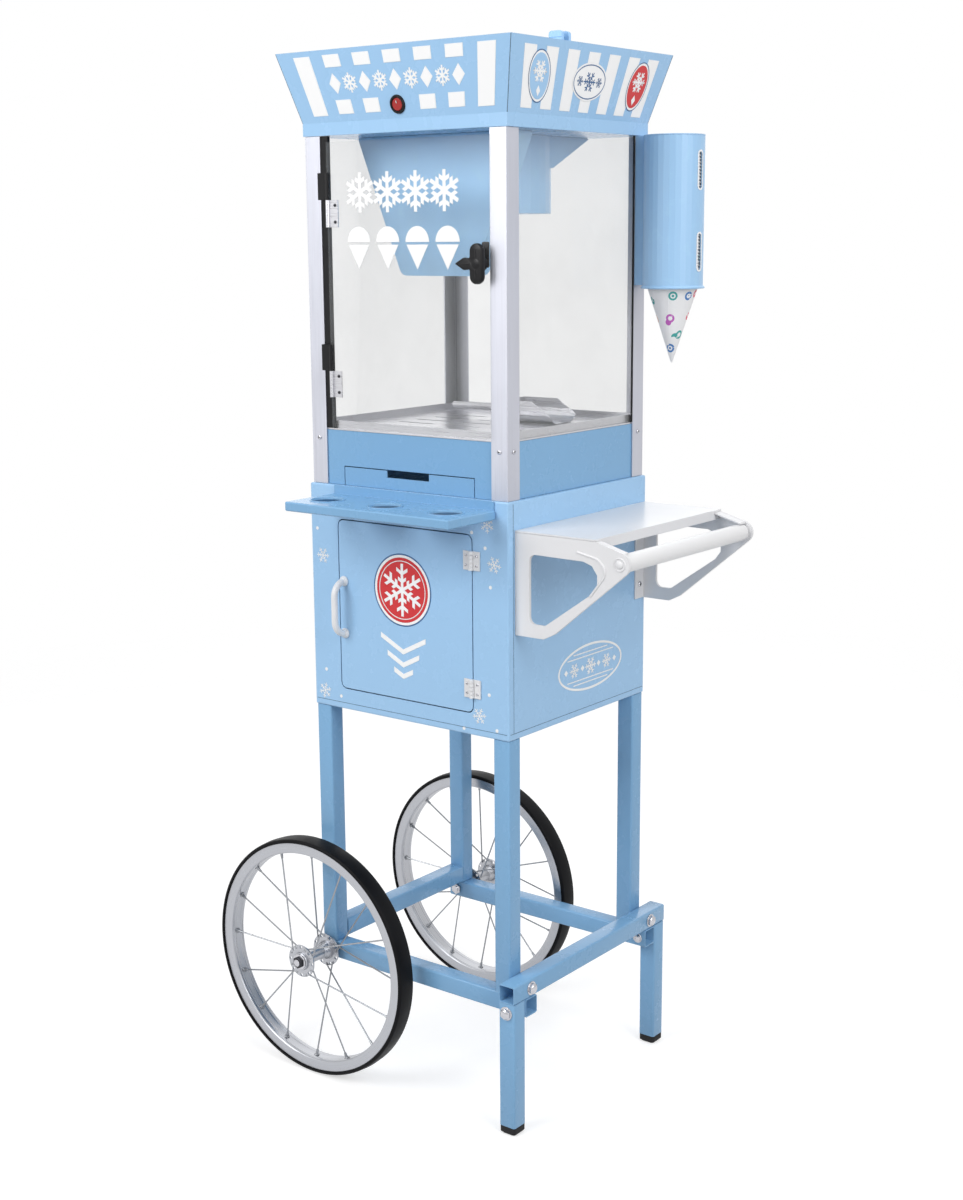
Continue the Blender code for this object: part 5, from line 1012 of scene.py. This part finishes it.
def build_hinge_screws():
    """Two screws in each leaf of the storage door's hinges."""
    gauge = 0.0016
    inset_x, inset_z = 0.0046, 0.006
    for level in ("lower", "upper"):
        for owner, body in (("cabinet", "chassis"), ("door", "storage_door_set")):
            low, high = corners(f"{level}_hinge_{owner}_leaf")
            x = high.x - inset_x if owner == "cabinet" else low.x + inset_x
            places = [(x, high.y - gauge, z) for z in (low.z + inset_z, high.z - inset_z)]
            add_screws(f"{level}_{owner}_leaf", body, places, -Y, radius=0.0019)


def build_cabinet_prints():
    """Loose flakes and dots on the front, and an oval badge with bars and flakes on the right side."""
    low, high = corners("cabinet")
    middle = (low + high) / 2
    front = flat_face((middle.x, low.y, 0.0), -Y)
    bm = bmesh.new()
    for index, place in enumerate(FLAKE_PLACES):
        decal(bm, snowflake(place, FLAKE_REACH, 0.10, 0.3 * index), front)
    for place in DOT_PLACES:
        decal(bm, circle(place, DOT_RADIUS, 16), front)
    side = flat_face((high.x, middle.y, 0.0), X)
    u, v = OVAL_CENTRE
    inner = OVAL_HALF - OVAL_LINE
    decal_ring(bm, circle(OVAL_CENTRE, OVAL_HALF, 72, OVAL_SQUASH),
               circle(OVAL_CENTRE, inner, 72, (OVAL_HALF * OVAL_SQUASH - OVAL_LINE) / inner), side)
    for step, half in OVAL_BARS:
        for level in (v - step, v + step):
            decal(bm, panel(u - half, level - OVAL_BAR, u + half, level + OVAL_BAR), side)
    for shift, reach in OVAL_FLAKES:
        decal(bm, snowflake((u + shift, v), reach, 0.13), side)
    for shift in OVAL_LOZENGES:
        decal(bm, lozenge((u + shift, v), OVAL_LOZENGE_HALF, OVAL_LOZENGE_HALF), side)
    finished("cabinet_prints", bm, print_white, "chassis")


def build_door_badge():
    """Red roundel with a flake in white and dark lines, over three chevrons that shrink downwards."""
    low = corners("storage_door")[0]
    centre_x = middle_of("cabinet").x
    face = flat_face((centre_x, low.y, 0.0), -Y)
    upper = flat_face((centre_x, low.y - PRINT_GAUGE, 0.0), -Y)

    def disc(radius):
        return circle(BADGE_CENTRE, radius, 72)

    red = bmesh.new()
    decal(red, disc(BADGE_RADIUS), face)
    finished("door_roundel", red, print_red, "storage_door_set")
    white = bmesh.new()
    u, v = BADGE_CENTRE
    white_edge = BADGE_RADIUS + BADGE_WHITE_EDGE
    decal_ring(white, disc(white_edge), disc(BADGE_RADIUS), face)
    decal_ring(white, *[disc(BADGE_RADIUS - inset) for inset in BADGE_INNER_LINE], upper)
    decal(white, snowflake(BADGE_CENTRE, BADGE_RADIUS - BADGE_FLAKE_INSET, 0.12, math.pi / 6), upper)
    for drop, half in CHEVRONS:
        top = v - drop
        foot = top - CHEVRON_BAND
        decal(white, [(u - half, top), (u - half, foot), (u, foot - half * 0.5), (u + half, foot),
                      (u + half, top), (u, top - half * 0.5)], face)
    finished("door_badge", white, print_white, "storage_door_set")
    dark = bmesh.new()
    decal_ring(dark, disc(BADGE_RADIUS + BADGE_DARK_EDGE), disc(white_edge), face)
    finished("door_badge_line", dark, print_blue, "storage_door_set")


def build_cabinet_seams():
    """Hem lines of the folded sheet, the back's screws and its bare rating plate."""
    low, high = corners("cabinet")
    middle = (low + high) / 2
    half_x, half_y = (high.x - low.x) / 2, (high.y - low.y) / 2
    hem = low.z + 0.0085
    line = 0.0006
    end = 0.003
    bm = bmesh.new()
    for place, out, half in (((middle.x, low.y, 0.0), -Y, half_x), ((middle.x, high.y, 0.0), Y, half_x),
                             ((low.x, middle.y, 0.0), -X, half_y), ((high.x, middle.y, 0.0), X, half_y)):
        decal(bm, panel(end - half, hem, half - end, hem + line), flat_face(place, out))
    fold = 0.0100
    decal(bm, panel(fold, hem, fold + line, high.z - end), flat_face((high.x, low.y, 0.0), X))
    finished("cabinet_seams", bm, seam_shade, "chassis")
    reach, inset = 0.14, 0.02
    places = [(middle.x + u, high.y, z) for u in (-reach, reach) for z in (low.z + inset, high.z - inset)]
    add_screws("cabinet_back", "chassis", places, Y, radius=0.0034)
    centre = Vector((middle.x + RATING_SHIFT, high.y, low.z + RATING_RISE))
    rating = bmesh.new()
    plate(rating, [panel(-RATING_U, -RATING_V, RATING_U, RATING_V, 0.003)], -0.0002, RATING_GAUGE,
          frame_of_face(centre, Y), soft=0.0002)
    finished("rating_plate", rating, post_metal, "chassis")
    lines = bmesh.new()
    outer, inner = [panel(inset - RATING_U, inset - RATING_V, RATING_U - inset, RATING_V - inset, bend)
                    for inset, bend in ((0.0025, 0.002), (0.0032, 0.0013))]
    decal_ring(lines, outer, inner, flat_face(centre + Y * RATING_GAUGE, Y))
    finished("rating_plate_border", lines, seam_shade, "chassis")


# Front rack
def build_rack_rims():
    """Rolled rim round each cone hole."""
    high = corners("cone_rack")[1]
    middle = middle_of("cone_rack")
    hole = 0.0205
    pitch = 0.098
    reach = 0.053
    drop = 0.011
    roll, roll_height = 0.0012, 0.0010
    profile = circle((hole + roll, 0.0002), roll, 12, roll_height / roll)
    bm = bmesh.new()
    for index in (-1, 0, 1):
        place = (middle.x + index * pitch, high.y - reach, high.z - drop)
        spun(bm, profile, place, Z, steps=56, closed=True)
    # rims in the darker copy of the sky paint, as painted shade
    finished("rack_hole_rims", bm, shaded_paint, "chassis")


# Kiosk
POST_SCREW_HEIGHT = 0.890
KNOB_LOBE = 0.0243
KNOB_HALF = 0.0095
KNOB_PLATE = 0.0085
KNOB_SHAFT = 0.0040
CAM_HALF = 0.005
CAM_GAUGE = 0.003
GLASS_FLAKE_START = -0.0725
GLASS_FLAKE_PITCH = 0.0455
GLASS_FLAKE_LEVEL = 1.2045
GLASS_FLAKE_REACH = 0.0250
GLASS_CONE_START = -0.0755
GLASS_CONE_PITCH = 0.0480
GLASS_CONE_LEVEL = 1.1400
CONE_HALF = 0.0175
CONE_HEIGHT = 0.0305
HEAP_HALF = 0.0190
HEAP_HEIGHT = 0.0195
HEAP_GAP = 0.0030


def build_post_details():
    """Screws at the feet of the posts, and the black seal between the right pane and its rear post."""
    for depth, out_y in (("front", -Y), ("rear", Y)):
        for side, out_x in (("left", -X), ("right", X)):
            low, high = corners(f"{depth}_{side}_post")
            middle = (low + high) / 2
            face_y = low.y if out_y.y < 0 else high.y
            face_x = low.x if out_x.x < 0 else high.x
            for look, place, out in (("face", (middle.x, face_y, POST_SCREW_HEIGHT), out_y),
                                     ("side", (face_x, middle.y, POST_SCREW_HEIGHT), out_x)):
                add_screws(f"{depth}_{side}_post_{look}", "chassis", [place], out, radius=0.0030)
    pane_low, pane_high = corners("right_pane")
    post_low = corners("rear_right_post")[0]
    seal = 0.0022
    bm = bmesh.new()
    matrix = frame_of((pane_high.x, post_low.y, pane_low.z), Z, X)
    plate(bm, [panel(0.0, -seal, seal, 0.0, 0.0006)], 0.0, pane_high.z - pane_low.z, matrix, soft=0.0002)
    finished("pane_seal", bm, black_rubber, "chassis")


def build_glass_screws():
    """Two dark screws in each hinge of the glass door."""
    for level in ("lower", "upper"):
        low, high = corners(level + "_glass_hinge")
        x, y = high.x - 0.0045, low.y + 0.0039
        inset = 0.0065
        places = [(x, y, z) for z in (low.z + inset, high.z - inset)]
        add_screws(level + "_glass_hinge", "glass_door_set", places, -Y, radius=0.0021, finish=dark_steel)


def build_knob():
    """Three-armed latch knob with rounded rims, a raised hub, its shaft and its cam."""
    low, high = corners("latch_knob")
    x = high.x - KNOB_HALF
    z = low.z + KNOB_LOBE
    lobe = KNOB_LOBE - KNOB_HALF
    turns = [math.radians(10 + 160 * step / 12) for step in range(13)]
    upper = [(KNOB_HALF * math.cos(turn), lobe + KNOB_HALF * math.sin(turn), 0) for turn in turns]
    lower = [(-u, -v, 0) for u, v, _ in upper]
    beak = [(-KNOB_HALF, 0.0067, 0.002), (-0.019, 0.0076, 0.004)]
    route = [*upper, *beak, (-0.033, 0.0, 0.0015), *[(u, -v, bend) for u, v, bend in reversed(beak)], *lower]
    front = frame_of_face((x, low.y, z), -Y)
    bm = bmesh.new()
    plate(bm, [rounded(route, 4)], -KNOB_PLATE, -0.0006, front, soft=0.0018)
    dome(bm, (x, low.y + 0.0012, z), -Y, radius=0.0062, height=0.0012, steps=28)
    ridge_end = lobe + 0.002
    for tip in (Vector((0.0, ridge_end)), Vector((0.0, -ridge_end)), Vector((-0.021, 0.0))):
        ridge = [front @ Vector((*(tip * share), -0.0012)) for share in (0.42, 1.0)]
        wire(bm, ridge, radius=0.0011, detail=2)
    for start, end, radius, steps in ((low.y + 0.013, low.y + 0.004, KNOB_HALF, 36),
                                      (low.y + 0.006, high.y - 0.0002, KNOB_SHAFT, 24)):
        bar(bm, (x, start, z), (x, end, z), radius, steps)
    cam = frame_of_face((x, high.y, z), -Y)
    outline = panel(-CAM_HALF, -CAM_HALF, CAM_HALF, high.z - z, CAM_HALF / 2)
    plate(bm, [outline], 0.0, CAM_GAUGE, cam, soft=0.0004)
    knob = finished("latch_knob_arms", bm, black_plastic, "latch")
    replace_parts(knob, "latch_knob")


def build_glass_prints():
    """White motifs on the glass door: a row of flakes over a row of small filled cones, on four columns."""
    low = corners("glass_door")[0]
    face = flat_face((0.0, low.y, 0.0), -Y)
    turns = [math.pi * step / 20 for step in range(21)]
    bm = bmesh.new()
    for index in range(4):
        place = (GLASS_FLAKE_START + GLASS_FLAKE_PITCH * index, GLASS_FLAKE_LEVEL)
        decal(bm, snowflake(place, GLASS_FLAKE_REACH, 0.20, math.pi / 6, BOLD_TWIGS), face)
        u, v = GLASS_CONE_START + GLASS_CONE_PITCH * index, GLASS_CONE_LEVEL
        heap = [(u + HEAP_HALF * math.cos(turn), v + HEAP_GAP + HEAP_HEIGHT * math.sin(turn))
                for turn in turns]
        decal(bm, heap, face)
        decal(bm, [(u - CONE_HALF, v), (u, v - CONE_HEIGHT), (u + CONE_HALF, v)], face)
    finished("glass_door_prints", bm, print_white, "glass_door_set")


# Header
HEADER_BAND = 0.016
HEADER_RISE = 0.086
HEADER_FLARE = 0.023
HEADER_TILT = math.atan2(HEADER_FLARE, HEADER_RISE)
ROCKER_REST = math.radians(7)
END_BAR = (0.1265, 0.1525)
SQUARE_PITCH = 0.0465
SQUARE_HALF = 0.0130
SQUARE_ROWS = [(0.0810, 0.0960), (0.0250, 0.0420)]
MOTIF_PITCH = 0.0245
MOTIF_LEVEL = 0.0615
MOTIF_FLAKE = 0.0120
MOTIF_LOZENGE = (0.0095, 0.0125)
FRONT_SHIFT = 0.003
STRIPE_PITCH = 0.0425
STRIPE_HALF = 0.0117
STRIPE_FOOT = 0.0222
STRIPE_TOP = 0.0930
SIDE_BADGE = (0.0, 0.0585)
SIDE_BADGE_FLAKES = [(0.0, 0.0125), (-0.0205, 0.0065), (0.0205, 0.0065)]
SIDE_BADGE_OVALS = [(0.0365, 0.62), (0.0340, 0.60), (0.0328, 0.585)]
UPRIGHTS = [(-0.106, "sky"), (0.108, "red")]
UPRIGHT_LEVEL = 0.0590
UPRIGHT_SQUASH = 1.38
UPRIGHT_RADII = (0.0218, 0.0209, 0.0190)
UPRIGHT_FLAKE = 0.0135
UPRIGHT_FLAKE_RISE = 0.0055
UPRIGHT_LOZENGE = (0.0042, 0.0062)
UPRIGHT_LOZENGE_DROP = 0.0165
DECO_LOW = 0.0240
DECO_HIGH = 0.0955


def header_face(out):
    """Surface for prints on a flared face: u runs across at mid height and fans out, v runs up from the
    header's lower edge."""
    low, high = corners("header_shell")
    middle = (low + high) / 2
    across = Vector(out).cross(Z) * -1.0
    top_reach = abs((high - low).dot(out)) / 2
    top_half = abs((high - low).dot(across)) / 2
    normal = Vector(out) * math.cos(HEADER_TILT) - Z * math.sin(HEADER_TILT)

    def surface(u, v, lift):
        drop = (HEADER_BAND + HEADER_RISE - v) * HEADER_FLARE / HEADER_RISE
        fan = (top_half - drop) / (top_half - HEADER_FLARE / 2)
        place = middle + Vector(out) * (top_reach - drop) + across * u * fan
        place.z = low.z + v
        return place + normal * lift

    return surface


def lifted(surface, height):
    return lambda u, v, lift: surface(u, v, lift + height)


def add_header_front(bm, surface, shift):
    """End bars, two rows of squares that leave room for the switch, and lozenges and flakes between them."""
    for side in (-1, 1):
        near, far = sorted(shift + side * reach for reach in END_BAR)
        decal(bm, panel(near, DECO_LOW, far, DECO_HIGH), surface)
    for index in range(5):
        centre = shift + SQUARE_PITCH * (index - 2)
        rows = SQUARE_ROWS if index != 2 else SQUARE_ROWS[:1]
        for bottom, top in rows:
            decal(bm, panel(centre - SQUARE_HALF, bottom, centre + SQUARE_HALF, top), surface)
    for index in range(9):
        place = (shift + MOTIF_PITCH * (index - 4), MOTIF_LEVEL)
        if index % 2:
            decal(bm, snowflake(place, MOTIF_FLAKE, 0.20, math.pi / 6, BOLD_TWIGS), surface)
        else:
            decal(bm, lozenge(place, *MOTIF_LOZENGE), surface)


def build_header_prints():
    """Prints of the four flared faces; each side has a plain oval badge between two upright ovals."""
    inks = {"white": bmesh.new(), "blue": bmesh.new(), "red": bmesh.new(), "sky": bmesh.new()}
    white, blue = inks["white"], inks["blue"]
    add_header_front(white, header_face(-Y), FRONT_SHIFT)
    add_header_front(white, header_face(Y), 0.0)
    for out in (X, -X):
        face = header_face(out)
        second, third, fourth = [lifted(face, layer * PRINT_GAUGE) for layer in (1, 2, 3)]
        for index in range(7):
            centre = STRIPE_PITCH * (index - 3)
            decal(white, panel(centre - STRIPE_HALF, STRIPE_FOOT, centre + STRIPE_HALF, STRIPE_TOP), face)
        oval, line, line_inner = [circle(SIDE_BADGE, reach, 64, squash)
                                  for reach, squash in SIDE_BADGE_OVALS]
        decal(white, oval, second)
        decal_ring(blue, line, line_inner, third)
        for shift, reach in SIDE_BADGE_FLAKES:
            decal(blue, snowflake((shift, SIDE_BADGE[1]), reach, 0.12), third)
        for u, ink in UPRIGHTS:
            v = UPRIGHT_LEVEL
            edge, line, disc = [circle((u, v), radius, 48, UPRIGHT_SQUASH) for radius in UPRIGHT_RADII]
            decal(white, edge, second)
            decal(inks[ink], disc, third)
            decal_ring(blue, edge, line, third)
            decal(white, snowflake((u, v + UPRIGHT_FLAKE_RISE), UPRIGHT_FLAKE, 0.16), fourth)
            decal(white, lozenge((u, v - UPRIGHT_LOZENGE_DROP), *UPRIGHT_LOZENGE), fourth)
    for ink, finish, slot in (("white", print_white, "white_enamel"), ("blue", print_blue, "black_plastic"),
                              ("red", print_red, "red_plastic"), ("sky", blue_plastic, "sky_blue_plastic")):
        finished(f"header_{ink}_prints", inks[ink], finish, "chassis")


def build_header_seams():
    """Joint lines where the flared faces meet."""
    low, high = corners("header_shell")
    knee = low.z + HEADER_BAND
    inset = HEADER_FLARE + SEAT
    line = 0.0005
    bm = bmesh.new()
    for side_x, x in ((1, high.x), (-1, low.x)):
        for side_y, y in ((1, high.y), (-1, low.y)):
            foot = (x - side_x * inset, y - side_y * inset, knee)
            wire(bm, [foot, (x - side_x * SEAT, y - side_y * SEAT, high.z - line)], line, detail=1)
    finished("header_corner_seams", bm, seam_shade, "chassis")


def build_switch_marks():
    """Plain bar and ring on the rocker."""
    tilt = HEADER_TILT + ROCKER_REST
    out = Vector((0.0, -math.cos(tilt), -math.sin(tilt)))
    skin = 0.0033
    bar_half, bar_foot, bar_top = 0.0005, 0.0022, 0.0055
    ring = (0.0, -0.0038)
    ring_radii = (0.0019, 0.0011)
    face = middle_of("switch_rocker") + out * skin
    face.x = middle_of("switch_bezel").x
    surface = flat_face(face, out)
    bm = bmesh.new()
    decal(bm, panel(-bar_half, bar_foot, bar_half, bar_top), surface)
    decal_ring(bm, *[circle(ring, radius) for radius in ring_radii], surface)
    finished("rocker_marks", bm, print_white, "rocker")


LID_RADIUS = 0.111
LID_HEIGHT = 0.0215
LID_RIM = 0.008
LID_WALL = 0.0025
LID_PIVOT = 0.005
LID_PIVOT_RISE = 0.0085
LID_TONGUE = 0.031
LID_BORE = 0.0024


def low_dome(radius, rim, crown, steps):
    """Profile of a shallow dome from its crown down to its rim."""
    rise = crown - rim
    ball = (radius ** 2 + rise ** 2) / (2 * rise)
    edge = math.asin(radius / ball)
    turns = [edge * step / steps for step in range(1, steps + 1)]
    return [(0.0, crown), *[(ball * math.sin(turn), crown - ball + ball * math.cos(turn)) for turn in turns]]


def build_lid():
    """Low domed lid with a rolled rim, and the hinge tongue at its side."""
    low, high = corners("hopper_lid")
    centre = Vector((low.x + LID_RADIUS, middle_of("hopper_lid").y, low.z))
    upper = low_dome(LID_RADIUS - 0.0016, LID_RIM, LID_HEIGHT, 14)
    edge = [(LID_RADIUS - 0.0005, LID_RIM - 0.0006), (LID_RADIUS, LID_RIM - 0.002), (LID_RADIUS, 0.0006),
            (LID_RADIUS - 0.0005, 0.0), (LID_RADIUS - LID_WALL, 0.0)]
    under = low_dome(LID_RADIUS - LID_WALL, LID_RIM - LID_WALL, LID_HEIGHT - LID_WALL, 8)
    bm = bmesh.new()
    spun(bm, [*upper, *edge, *reversed(under)], centre, Z, steps=112)
    pivot_x = high.x - LID_PIVOT
    pivot_z = low.z + LID_PIVOT_RISE
    root = pivot_x - LID_TONGUE
    half = 0.0044
    half_width = 0.0045
    tongue = rounded([(root, pivot_z - half, 0), (high.x, pivot_z - half, 0.004),
                      (high.x, pivot_z + half, 0.004), (root, pivot_z + half, 0)])
    bore = circle((pivot_x, pivot_z), LID_BORE, 20)
    plate(bm, [tongue, bore], -half_width, half_width, frame_of_face((0.0, centre.y, 0.0), -Y), soft=0.0004)
    lid = finished("hopper_lid_dome", bm, blue_plastic, "lid")
    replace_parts(lid, "hopper_lid")


def build_lid_block_ribs():
    """Three raised grips across each cheek of the lid's hinge block."""
    low, high = corners("hopper_lid")
    pivot_x = high.x - LID_PIVOT
    y = (low.y + high.y) / 2
    half = 0.0085
    cheek = 0.0098
    rises = (0.005, 0.0095, 0.014)
    bm = bmesh.new()
    for outer in (y - cheek, y + cheek):
        for rise in rises:
            ends = [(x, outer, low.z + rise) for x in (pivot_x - half, pivot_x + half)]
            wire(bm, ends, radius=0.0007, detail=2)
    finished("lid_block_ribs", bm, blue_plastic, "chassis")


def build_inlet_pins():
    """Three pins inside the power inlet."""
    high = corners("power_inlet")[1]
    middle = middle_of("power_inlet")
    out = Vector((0.0, math.cos(HEADER_TILT), -math.sin(HEADER_TILT)))
    up = Vector((0.0, math.sin(HEADER_TILT), math.cos(HEADER_TILT)))
    lip = 0.004
    depth = 0.013
    length = 0.0105
    half_u, half_v = 0.0010, 0.0028
    places = [(-0.007, -0.002), (0.0, 0.003), (0.007, -0.002)]
    face = Vector((middle.x, high.y - lip, middle.z))
    outline = panel(-half_u, -half_v, half_u, half_v, 0.0006)
    bm = bmesh.new()
    for u, v in places:
        root = face + X * u + up * v - out * depth
        plate(bm, [outline], 0.0, length, frame_of_face(root, out), soft=0.0002)
    finished("inlet_pins", bm, bright_steel, "chassis")


# Side shelf
RIB_ROUTE = [(0.0757, 0.0150, 0), (0.0456, 0.0209, 0.014), (0.0308, 0.0354, 0.012), (0.0561, 0.0676, 0)]


def build_shelf_details():
    """Embossed ribs, bar-end bolts and flange screws of the two brackets, and the round-ended bar."""
    bar_low, bar_high = corners("handle_bar")
    centre = (bar_low + bar_high) / 2
    radius = (bar_high.z - bar_low.z) / 2
    half = (bar_high.y - bar_low.y) / 2
    ball = 0.004
    flange, flange_gauge = 0.010, 0.002
    screw_rises, screw_drop = (0.020, 0.062), 0.024
    turns = [math.pi / 2 * step / 5 for step in range(6)]
    end = [(radius - ball + ball * math.cos(turn), half - ball + ball * math.sin(turn)) for turn in turns]
    profile = [(0.0, -half), *[(r, -h) for r, h in reversed(end)], *end, (0.0, half)]
    grip = bmesh.new()
    spun(grip, profile, centre, Y, steps=64)
    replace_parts(finished("handle_grip", grip, white_plastic, "chassis"), "handle_bar")
    ribs = bmesh.new()
    bolts = bmesh.new()
    for depth, out in (("front", -Y), ("rear", Y)):
        low, high = corners(depth + "_shelf_bracket")
        face = low.y if out.y < 0 else high.y
        route = rounded([(high.x - back, high.z - drop, bend) for back, drop, bend in RIB_ROUTE], 8)
        wire(ribs, [(x, face, z) for x, z in route], radius=0.0016, detail=3)
        seat = Vector((centre.x, face, centre.z))
        spun(ribs, circle((0.0078, 0.0), 0.0009, 10), seat, out, steps=40, closed=True)
        dome(bolts, seat, out, radius=0.0052, height=0.0026, steps=28)
        flange_y = high.y - flange if out.y < 0 else low.y + flange
        levels = [*[low.z + rise for rise in screw_rises], high.z - screw_drop]
        places = [(low.x + flange_gauge, flange_y, z) for z in levels]
        add_screws(depth + "_bracket", "chassis", places, X, radius=0.0036)
    finished("bracket_ribs", ribs, white_paint, "chassis")
    finished("bar_end_bolts", bolts, white_paint, "chassis")


# Cone dispenser and cones
DISPENSER_RADIUS = 0.0395
SLOT_HALF = 0.004
SLOT_LENGTH = 0.046
SLOT_RISE = 0.024
SLOT_PITCH = 0.103
SLOT_BEND = 0.0038
SLOT_FRAME = 0.0024
DISPENSER_SCREW = (0.0062, 0.0585)
DISPENSER_SCREW_RISES = (0.03, 0.10, 0.17)


def build_dispenser_details():
    """White frames round the sight slots, a rolled rim at each end and the bracket's screws."""
    low = corners("cone_dispenser")[0]
    axis = over("cone_stack", low.z)

    def surface(u, v, lift):
        turn = u / DISPENSER_RADIUS
        reach = DISPENSER_RADIUS + lift
        return Vector((axis.x + reach * math.cos(turn), axis.y + reach * math.sin(turn), axis.z + v))

    bm = bmesh.new()
    for bottom in (SLOT_RISE, SLOT_RISE + SLOT_PITCH):
        outer, inner = [panel(-SLOT_HALF - grow, bottom - grow, SLOT_HALF + grow, bottom + SLOT_LENGTH + grow,
                              SLOT_BEND + grow, 8) for grow in (SLOT_FRAME, 0.0)]
        decal_ring(bm, outer, inner, surface)
    finished("slot_frames", bm, print_white, "chassis")
    rims = bmesh.new()
    for place, roll in (((DISPENSER_RADIUS + 0.0012, 0.0012), 0.0011),
                        ((DISPENSER_RADIUS - 0.0002, 0.1942), 0.0007)):
        spun(rims, circle(place, roll, 10), axis, Z, steps=96, closed=True)
    finished("dispenser_rims", rims, paint, "chassis")
    across, deep = DISPENSER_SCREW
    places = [(low.x + across, low.y + deep, low.z + rise) for rise in DISPENSER_SCREW_RISES]
    add_screws("dispenser_bracket", "chassis", places, -Y, radius=0.0026)


def build_cone_stack():
    """Rims of the nested cones, close together, over the first cone's point."""
    low, high = corners("cone_stack")
    radius = (high.x - low.x) / 2
    axis = over("cone_stack", 0.0)
    start = corners("paper_cone")[1].z + 0.0015
    end = corners("cone_dispenser")[1].z - 0.012
    pitch = 0.0042
    roll = 0.0013
    wall = 0.0022
    soft = radius - 0.0006
    profile = [(0.0, low.z + 0.001), (radius - wall, start)]
    for index in range(int((end - start) / pitch)):
        rim = start + pitch * index
        profile += [(soft, rim + 0.0002), (radius, rim + roll / 2), (soft, rim + roll),
                    (radius - wall, rim + roll + 0.0003), (radius - wall - 0.0004, rim + pitch)]
    top = profile[-1][1]
    profile += [(radius - 2 * wall, top), (0.0, top - 0.09)]
    bm = bmesh.new()
    spun(bm, profile, axis, Z, steps=64)
    piece = finished("nested_cones", bm, paper, "chassis")
    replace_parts(piece, "cone_stack")


def build_paper_cone():
    """Hanging paper cone with a lap seam."""
    low, high = corners("paper_cone")
    radius = (high.x - low.x) / 2
    height = high.z - low.z
    tip = over("paper_cone", low.z)
    wall = 0.001
    bm = bmesh.new()
    cone = [(0.0, 0.0), (0.0012, 0.0012), (radius * 0.5, height * 0.5), (radius - 0.0004, height - 0.0006),
            (radius, height), (radius - wall, height), (radius * 0.5 - wall, height * 0.5), (0.0, 0.0034)]
    spun(bm, cone, tip, Z, steps=72)
    turn = math.radians(-70)
    proud = 0.00005
    seam = []
    for share in (0.03, 0.35, 0.7, 0.985):
        reach = radius * share + proud
        seam.append((tip.x + reach * math.cos(turn), tip.y + reach * math.sin(turn), tip.z + height * share))
    wire(bm, seam, radius=0.00035, detail=1)
    piece = finished("paper_cone_skin", bm, paper, "cone")
    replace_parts(piece, "paper_cone")


add_camera()
add_floor()
add_world()
for name, values in LAMPS.items():
    add_lamp(name, *values)
dress_nodes()
build_frame_tubes()
build_stand()
build_foot_rubbers()
build_running_gear()
build_door_pull()
build_hinge_screws()
build_cabinet_prints()
build_door_badge()
build_cabinet_seams()
build_rack_rims()
build_post_details()
build_glass_screws()
build_knob()
build_glass_prints()
build_header_prints()
build_header_seams()
build_switch_marks()
build_lid()
build_lid_block_ribs()
build_inlet_pins()
build_shelf_details()
build_dispenser_details()
build_cone_stack()
build_paper_cone()

bpy.context.scene.view_settings.view_transform = "Standard"
